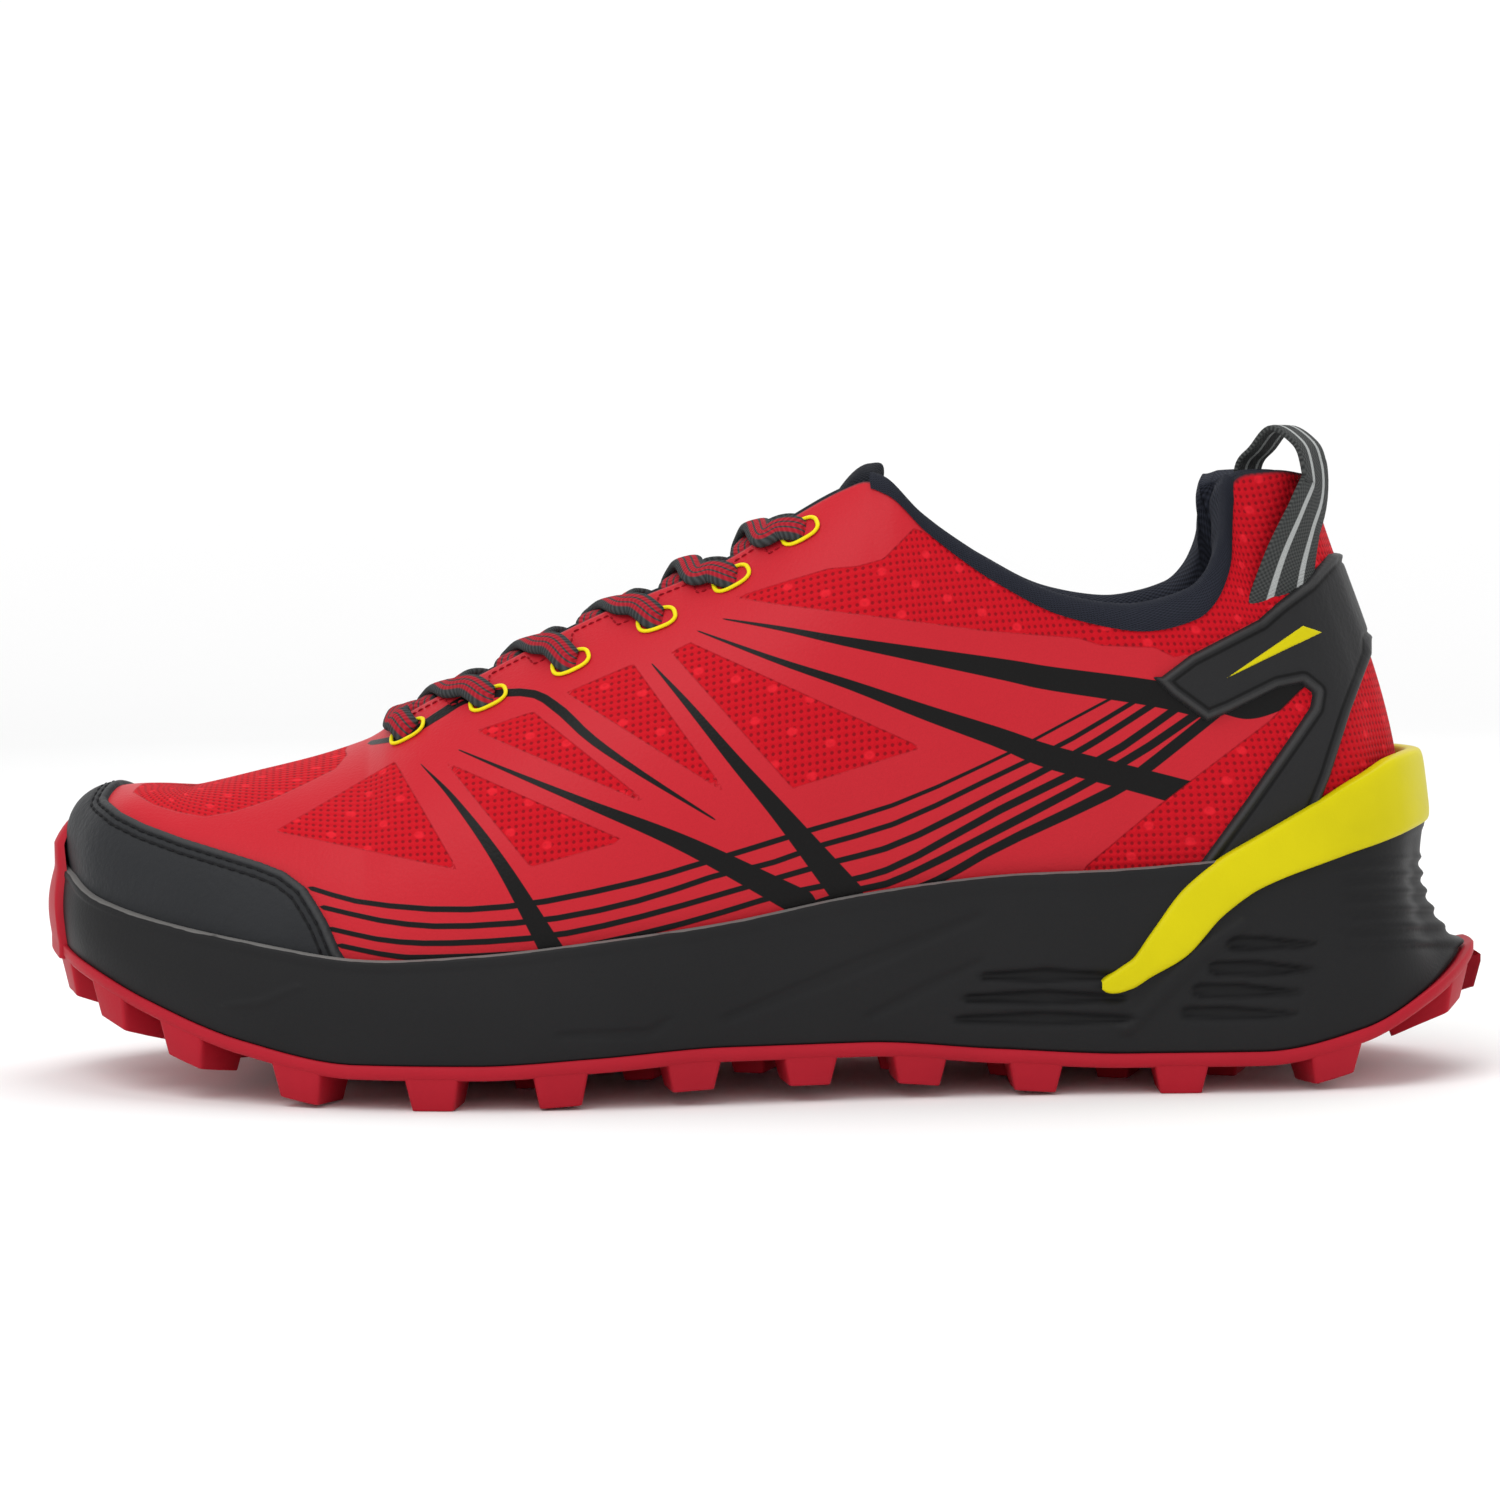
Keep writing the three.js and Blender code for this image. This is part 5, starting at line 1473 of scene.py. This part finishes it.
@dataclass
class Eyelets:
    """Oval rings that edge the lace holes."""

    length: float = 8.0
    width: float = 5.4
    wire: float = 0.72
    lift: float = 0.35

    def build(self) -> bpy.types.Object:
        """One ring on each side for every lace row, its long way along the throat."""
        parts = []
        for row, height in zip(LACE_ROWS, EYELET_SHARES):
            for place in (row, LOOP - row):
                at, share = np.array([place]), np.array([height])
                centre, normal = LAST.lie(at, share, np.array([self.lift]))[0], LAST.normal(at, share)[0]
                run = unit(LAST.upper(at + 0.1, share) - LAST.upper(at - 0.1, share))[0]
                side = np.cross(normal, run)
                ring = oval(self.length, self.width, 36, 2.8)
                line = centre + ring[:, :1] * run + ring[:, 1:] * side
                radial = unit(line - centre)
                tube = oval(self.wire * 1.3, self.wire, 8, 2)
                body = line[:, None] + tube[None, :, :1] * radial[:, None] + tube[None, :, 1:] * normal
                faces = grid_faces(len(line) + 1, len(tube), True, flip=True) % (len(line) * len(tube))
                parts.append((body, faces))
        points, faces, cloth = join_parts(parts)
        made = make("eyelet_rings", points, faces, RING, weld=False)
        names = [f"eyelet_{side}_{i + 1}" for side in ("outer", "inner") for i in range(len(LACE_ROWS))]
        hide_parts(*names)
        return made


@dataclass
class Laces:
    """One lace: a straight first row, then crossings that come out from under each edge."""

    width: float = 6.0
    thickness: float = 2.4
    ahead: float = 0.27
    points: int = 60
    first_rise: tuple = (1.0, -0.4)
    low_rise: tuple = (1.3, -0.2)
    high_rise: tuple = (3.2, 0.6)
    high_from: int = 4

    def path(self, eyelet: int, side: Side, end: float, rise: float) -> tuple:
        """From an eyelet forward over the throat's edge, across, and under the other edge.

        Args:
            eyelet: number of the eyelet from the toe.
            side: side that it starts on.
            end: place where it goes under the other edge.
            rise: height of the cord's middle over the line between the edges.

        Returns:
            Points of the cord's middle, and the way its flat side faces.
        """
        share, row = EYELET_SHARES[eyelet], LACE_ROWS[eyelet]
        start = row if side is Side.OUTER else LOOP - row
        ahead = self.ahead * side.value * min(1, 0.3 + eyelet)
        half = self.thickness / 2
        place = start + ahead * np.array([-0.12, 0.08, 0.5, 1.0])
        shares = np.array([share, share + 0.01, mix(share, EDGE_SHARE, 0.6), EDGE_SHARE])
        near = LAST.lie(place, shares, np.array([-WALL, half * 0.5, half + 0.3, half - 0.2]))
        far = LAST.top(np.array([end]))[0]
        inwards = unit(near[-1] - far) * [1, 1, 0]
        across = [mix(near[-1], far, t) + [0, 0, rise * h] for t, h in ((0.33, 1.0), (0.62, 0.8))]
        under = LAST.lie(np.array([end]), np.array([0.965]), np.array([-WALL - 1.1]))[0]
        points = [*near, *across, far + inwards * 3.2 + [0, 0, 0.2], under]
        up = unit(LAST.normal(np.array([start]), np.array([1.0]))[0] + [0, 0, 1.5])
        away = LAST.normal(np.array([end]), np.array([0.97]))[0]
        facing = [*LAST.normal(place, shares), up, up, unit(up + away), away]
        return smooth_path(points, self.points), unit(smooth_path(facing, self.points))

    def build(self) -> bpy.types.Object:
        """Sweeps the cord along every visible stretch."""
        ring, parts = oval(self.width, self.thickness, 20, 2.6), []
        for k, row in enumerate(LACE_ROWS):
            end = mix(LACE_ROWS[k - 1], row, 0.14) if k else row
            rises = (self.high_rise if k >= self.high_from else self.low_rise) if k else self.first_rise
            for side, stop, rise in zip(Side, (LOOP - end, end), rises):
                points, faces, cloth = sweep(*self.path(k, side, stop, rise), ring)
                cloth[:, 0] /= self.width / 2
                parts.append((points, faces, cloth))
        points, faces, cloth = join_parts(parts)
        made = make("lace", points, faces, LACE, cloth=cloth, weld=False)
        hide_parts("lace_first", *[f"lace_cross_{i + 1}" for i in range(len(LACE_ROWS) - 1)])
        return made


# Creases in the midsole's side, in side view: points of a stroke with its width, then its depth;
# a negative depth is a ridge.
CREASES = (
    (((-110, -53.5, 1.2), (-102.5, -53, 1.8), (-94.5, -49.5, 1.0)), -0.4),
    (((-40, -60, 1.6), (-21, -59.5, 2.2), (-17, -56.5, 1.2)), 0.5),
    (((-5, -56.5, 2.0), (20, -46.5, 3.6), (48, -35, 2.0)), 0.5),
    (((25, -56, 1.6), (36, -50.5, 2.6), (48, -44.5, 1.6)), 0.5),
    (((49, -47.6, 1.4), (62, -47.4, 3.0), (76, -47.6, 1.4)), 1.7),
    (((45.5, -52.2, 1.4), (62, -52.0, 3.2), (78, -52.2, 1.4)), 1.8),
    (((44, -56.6, 1.4), (62, -56.4, 3.0), (80, -56.6, 1.4)), 1.6),
    (((79, -58.5, 2.4), (94, -43, 3.2), (104.5, -36, 2.4)), -0.7),
    (((101.5, -40.7, 2.8), (108, -40.8, 3.0), (118, -41.0, 0.8)), 1.8),
    (((98, -45.9, 3.0), (107, -46.0, 3.2), (118, -46.3, 0.8)), 1.9),
    (((94.5, -50.6, 3.0), (103, -50.7, 3.2), (115, -51.0, 0.8)), 1.8),
    (((92, -55.2, 2.6), (101, -55.3, 2.8), (114, -55.6, 0.8)), 1.6),
)


# Ribs behind the heel, in side view, in millimetres
RIB_START = 121.0
RIB_TOP = 23.0
RIB_END = 43.0
RIB_PITCH = 3.6
RIB_HEIGHT = 0.55


@dataclass
class Midsole:
    """Foam cup with a lip, creases in its side and ribs round the heel."""

    columns: int = 620
    wall_rows: int = 52
    lip: float = 0.25
    under: float = 16.0

    def relief(self, place: Array, share: Array) -> Array:
        """Outward offset: a faint lip, less creases in side view, plus ribs behind the heel.

        The ribs are waves RIB_PITCH apart, from RIB_TOP mm under the eye's level downwards.
        """
        base = LAST.side_point(place, share, np.zeros_like(share))
        flat = VIEW.folded(base.reshape(-1, 3))
        cut = np.zeros(len(flat))
        for stroke, depth in CREASES:
            cut = cut + depth * ease((stroke_depth(flat, stroke) + 0.5) / 1.1)
        u, v = flat.T
        span = ease((u - RIB_START) / 6) * ease((-v - RIB_TOP + 2) / 2) * ease((v + RIB_END) / 2)
        waves = np.sin((v + RIB_TOP) * math.tau / RIB_PITCH)
        ribs = RIB_HEIGHT * np.maximum(waves, -0.6) * span
        return self.lip * ease((share - 0.9) / 0.05) + (ribs - cut).reshape(share.shape)

    def build(self) -> bpy.types.Object:
        """Profile from under the outer edge, up the side, over the lip and down to the bed."""
        place = LAST.places(self.columns + 1)[:-1]
        share = np.linspace(0, 1, self.wall_rows)
        p, s = np.meshgrid(place, share, indexing="xy")
        wall = LAST.side_point(p, s, self.relief(p, s))
        rim, inset = LAST.rim(place), LAST.inset(place)
        under = LAST.edge(place, np.full(len(place), self.under), 0)
        under[:, 2] = LAST.bottom(under[:, 0])
        lips = [
            LAST.edge(place, inset + RIM * t - 0.2 * (1 - t), rim + 0.4 * np.sin(np.pi * t))
            for t in (0.15, 0.5, 0.9)
        ]
        cup = LAST.upper(place, np.full(len(place), 0.12)) + LAST.outward(place) * 0.3
        cup[:, 2] = np.minimum(rim - 2, cup[:, 2])
        grid = np.concatenate([under[None], wall, np.stack(lips), cup[None]])
        glue = np.zeros(grid.shape[:2])
        glue[-4:-1] = 1
        faces = grid_faces(len(grid), len(place), True)
        made = make("midsole_cup", grid, faces, FOAM, {"glue": glue})
        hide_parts("midsole")
        return made


@dataclass
class HeelClip:
    """Band that lies on the midsole's side and stands up behind the heel, with rounded edges."""

    columns: int = 260
    climb: float = 0.12  # how far it leans in for each millimetre above the rim

    def build(self) -> bpy.types.Object:
        """Round section between the low and high edge at each place."""
        start = CLIP_EDGE[0, 0]
        place = LAST.places(self.columns, start, LOOP - start)
        row = LAST.row(place)
        low, high = (steady(CLIP_EDGE[:, 0], CLIP_EDGE[:, k] * SOLE_HEIGHT, row)[:, None] for k in (1, 2))
        ring = oval(1.0, 1.0, 40, 5)
        count = np.arange(self.columns)
        tip = round_edge(np.minimum(count, count[::-1]) + 0.4, 6)[:, None]
        across = mix(low, high, 0.5 + ring[:, 0] * tip)
        proud = mix(-CLIP_THICKNESS * 0.8, CLIP_PROUD + 0.5, 0.5 + ring[:, 1])
        place, proud = np.broadcast_arrays(place[:, None], proud[None, :])
        base, rim = LAST.bottom(LAST.outline(place)[..., 0]), LAST.rim(place)
        climb = self.climb * np.maximum(0, across - rim)
        points = LAST.side_point(place, (across - base) / (rim - base), proud - climb)
        made = make("heel_clip_band", points, grid_faces(self.columns, len(ring), True), CLIP)
        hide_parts("heel_clip")
        return made


@dataclass
class Outsole:
    """Rubber sheet with tread blocks, turned up over the toe."""

    columns: int = 520
    # Inset and drop under the foam of the sheet's lines, from its upper edge round to its underside
    rim: tuple = ((3, 0.2), (-0.5, 0), (-0.9, 0.4), (-0.9, 2.2), (-0.4, 2.8), (0.5, 3.0), (8, 3.0), (16, 3.0))
    corners: int = 28  # points round a block
    middle_length: float = 9.0
    middle_width: float = 20.0
    middle_slant: float = 18.0

    def height(self, x: Array) -> Array:
        """Underside of the foam, held inside the outline's ends."""
        return LAST.bottom(np.clip(x, (0.015 - 0.5) * SOLE_LENGTH, (0.992 - 0.5) * SOLE_LENGTH))

    def sheet(self) -> tuple:
        """Edge strip and underside of the rubber sheet."""
        place = LAST.places(self.columns + 1)[:-1]
        rows = []
        for inset, drop in self.rim:
            p = LAST.edge(place, np.full(len(place), inset), 0)
            p[:, 2] = LAST.bottom(p[:, 0]) - drop
            rows.append(p)
        x = np.clip(rows[-1][:, 0], LAST.xs[0] + 32, LAST.xs[-1] - 32)
        rows.append(np.stack([x, LAST.middle(x), LAST.bottom(x) - self.rim[-1][1]], -1))
        grid = np.stack(rows)
        return grid.reshape(-1, 3), grid_faces(len(rows), len(place), True, flip=True)

    def block(self, centre: Array, along: Array, across: Array, length: float, depth: float) -> tuple:
        """A tapered block with rounded corners, from inside the sheet down to the ground."""
        share = centre[0] / SOLE_LENGTH + 0.5
        height = LUG_HEIGHT * mix(1, HEEL_LUG_SHARE, ease((share - 0.38) / 0.08))
        foot = TREAD_BASE + height
        levels = (
            (TREAD_BASE / 2, 0.0),
            (TREAD_BASE, 0.0),
            (foot - 0.4, LUG_DRAFT),
            (foot - 0.1, LUG_DRAFT + 0.1),
            (foot, LUG_DRAFT + 0.4),
        )
        rings = []
        for drop, shrink in levels:
            ring = oval(length - 2 * shrink, depth - 2 * shrink, self.corners, 14)
            p = centre + ring[:, :1] * along + ring[:, 1:] * across
            p[:, 2] = np.maximum(self.height(p[:, 0]) - drop, 0.01 * drop)
            rings.append(p)
        n, tip = self.corners, len(rings) * self.corners
        faces = grid_faces(len(rings), n, True, flip=True).tolist()
        faces += [[tip - n + a, tip, tip - n + (a + 1) % n] for a in range(n)]
        return np.concatenate([*rings, [rings[-1].mean(0)]]), faces

    def blocks(self) -> list:
        """Blocks round the edge and slanted pairs down the middle."""
        made = []
        rows = [*TOE_LUGS, *LAST.row_at((np.array(EDGE_LUGS) - 0.5) * SOLE_LENGTH), *HEEL_LUGS]
        for row in rows:
            inset = np.array([LUG_DEPTH / 2 - (2.1 if row == ROWS else 0.6)])
            for place in (np.array([row]), np.array([LOOP - row])):
                out, centre = LAST.outward(place)[0], LAST.edge(place, inset, 0)[0]
                made.append(self.block(centre, np.array([out[1], -out[0], 0]), out, LUG_LENGTH, LUG_DEPTH))
        for share in CENTRE_LUGS:
            x = (share - 0.5) * SOLE_LENGTH
            wide = float(width_at(share)) * self.middle_width / BALL_WIDTH
            for side in Side:
                turn = math.radians(self.middle_slant * side.value)
                along = np.array([math.cos(turn), math.sin(turn), 0])
                across = np.array([-along[1], along[0], 0])
                centre = np.array([x, float(LAST.middle(x)) + side.value * (wide / 2 + 2), 0.0])
                made.append(self.block(centre, along, across, self.middle_length, wide))
        return made

    def bumper(self) -> tuple:
        """Rubber over the toe: outer face with a rounded top edge."""
        rows, columns = 30, 90
        place = np.linspace(-BUMPER_REACH, BUMPER_REACH, columns)
        away = np.abs(place / BUMPER_REACH)
        base, rim = LAST.bottom(LAST.outline(place)[:, 0]), LAST.rim(place)
        t = np.linspace(0, 1, rows)[:, None]
        z = mix(base - TREAD_BASE, mix(BUMPER_TOP, base + 4, away**1.7), t)
        back = 0.45 * np.maximum(0, z - rim - 5) ** 1.1
        proud = BUMPER * round_edge((1 - t) * 12, 2.2) * round_edge((1 - away) * 30, 2.5)
        p = np.broadcast_to(place, z.shape)
        points = LAST.side_point(p, (z - base) / (rim - base), proud - back - 0.2)
        return points.reshape(-1, 3), grid_faces(rows, columns)

    def build(self) -> bpy.types.Object:
        """All rubber in one object."""
        points, faces, _ = join_parts([self.sheet(), self.bumper(), *self.blocks()])
        made = make("outsole_rubber_sole", points, faces, RUBBER, weld=False)
        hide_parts("outsole")
        return made


@dataclass
class Stage:
    """White ground, soft light and the camera."""

    view: SideView = VIEW
    sensor: float = 36.0
    lens: float = 4052 / 1500 * 36
    sky: float = 0.36
    wall_glow: float = 1.05
    # Name, place, size and power of each lamp
    lamps: tuple = (("key", (-0.45, -0.6, 1.25), 0.9, 8.0), ("top", (0.25, 0.35, 1.3), 1.0, 8.0))
    aim: tuple = (0.0, 0.0, 0.05)

    def build(self) -> None:
        """Makes ground, lamps, sky and camera."""
        scene = bpy.context.scene
        scene.view_settings.view_transform = "Standard"
        self.bowl(scene)
        for name, at, size, power in self.lamps:
            lamp = bpy.data.lights.new(name, "AREA")
            lamp.energy, lamp.size = power, size
            made = bpy.data.objects.new(name, lamp)
            made.location = at
            made.rotation_euler = (Vector(self.aim) - Vector(at)).to_track_quat("-Z", "Y").to_euler()
            scene.collection.objects.link(made)
        world = bpy.data.worlds.new("sky")
        world.use_nodes = True
        background = world.node_tree.nodes["Background"]
        background.inputs[0].default_value = (1, 1, 1, 1)
        background.inputs[1].default_value = self.sky
        scene.world = world
        self.camera(scene)

    def bowl(self, scene: bpy.types.Scene) -> None:
        """Round backdrop: a flat floor that bends up into a faintly glowing wall, like a light tent."""
        turn = np.linspace(0, np.pi / 2, 14)
        bend = np.stack([1.15 + 0.7 * np.sin(turn), 0.7 - 0.7 * np.cos(turn)], -1)
        profile = np.concatenate([[[0.0, 0.0], [0.5, 0.0], [0.85, 0.0]], bend, [[1.85, 1.9]]])
        angle = np.linspace(0, math.tau, 96, endpoint=False)
        x = profile[:, :1] * np.cos(angle)
        y = profile[:, :1] * np.sin(angle)
        z = np.broadcast_to(profile[:, 1:], x.shape)
        mesh = bpy.data.meshes.new("ground")
        faces = grid_faces(len(profile), len(angle), True)
        mesh.from_pydata(np.stack([x, y, z], -1).reshape(-1, 3).tolist(), [], faces.tolist())
        mesh.polygons.foreach_set("use_smooth", np.ones(len(mesh.polygons), dtype=bool))
        g = Graph("look_ground")
        reach = g.node("VectorMath", "Value", {"operation": "LENGTH"}, Vector=g.place())
        far = ((reach - 1.1) * 1.6).most(0).least(1)
        glow = g.blend(far, (0, 0, 0, 1), (self.wall_glow,) * 3 + (1,))
        white = g.blend(far, (0.9, 0.9, 0.9, 1), (0, 0, 0, 1))
        mesh.materials.append(g.finish(white, 1.0, glow=glow, shine=0.0))
        mesh.materials[0].cycles.emission_sampling = "NONE"
        ground = bpy.data.objects.new("ground", mesh)
        scene.collection.objects.link(ground)

    def camera(self, scene: bpy.types.Scene) -> None:
        """Places the camera at the side view's eye."""
        forward, right, up = self.view.axes()
        turn = Matrix([right, up, -forward]).transposed().to_4x4()
        camera = bpy.data.cameras.new("camera")
        camera.lens, camera.sensor_width = self.lens, self.sensor
        made = bpy.data.objects.new("camera", camera)
        made.matrix_world = Matrix.Translation(Vector(to_part(self.view.eye()))) @ turn
        scene.collection.objects.link(made)
        scene.camera = made


def main() -> None:
    """Builds every piece in order."""
    logging.basicConfig(level=logging.INFO)
    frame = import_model()
    pieces = [
        Upper(),
        Overlay(
            "toe_cap_coat",
            CAP_OUTLINE,
            ((-6.2, 6.2),),
            CAP_COAT,
            "toe_cap",
            "overlay_coat",
            groove=CAP_COAT.lines,
        ),
        Overlay(
            "heel_counter_coat",
            COUNTER_OUTLINE,
            ((9.8, 22.2),),
            OVERLAY_COAT,
            "heel_counter",
            "overlay_coat",
            groove=OVERLAY_COAT.lines,
            bead=0.4,
            step=0.55,
        ),
        Overlay(
            "wedge_mark",
            WEDGE_OUTLINE,
            ((11.3, 14.0), (18.0, 20.7)),
            CLIP,
            height=0.25,
            radius=0.3,
            base=OVERLAY - 0.05,
            step=0.3,
            shares=(0.5, 0.97),
            height_span=50.0,
        ),
        Collar(),
        Tongue(),
        PullLoop(),
        Eyelets(),
        Laces(),
        Midsole(),
        HeelClip(),
        Outsole(),
    ]
    for piece in pieces:
        made = piece.build()
        LOG.info("%s: %d faces", made.name, len(made.data.polygons))
    cap, throat = pieces[1], [throat_seam(1.8, 6.2)]
    throat += [(LOOP - place, share) for place, share in throat]
    Stitching("cap_stitches", [cap.seam(inset) for inset in CAP_COAT.lines], OVERLAY - 0.2).build()
    Stitching("throat_stitches", throat, 0.1, RED_THREAD, 1.7, 0.42).build()
    frame["nodes"]["insole"].data.materials[0] = LINER.build()
    Stage().build()


if __name__ == "__main__":
    main()
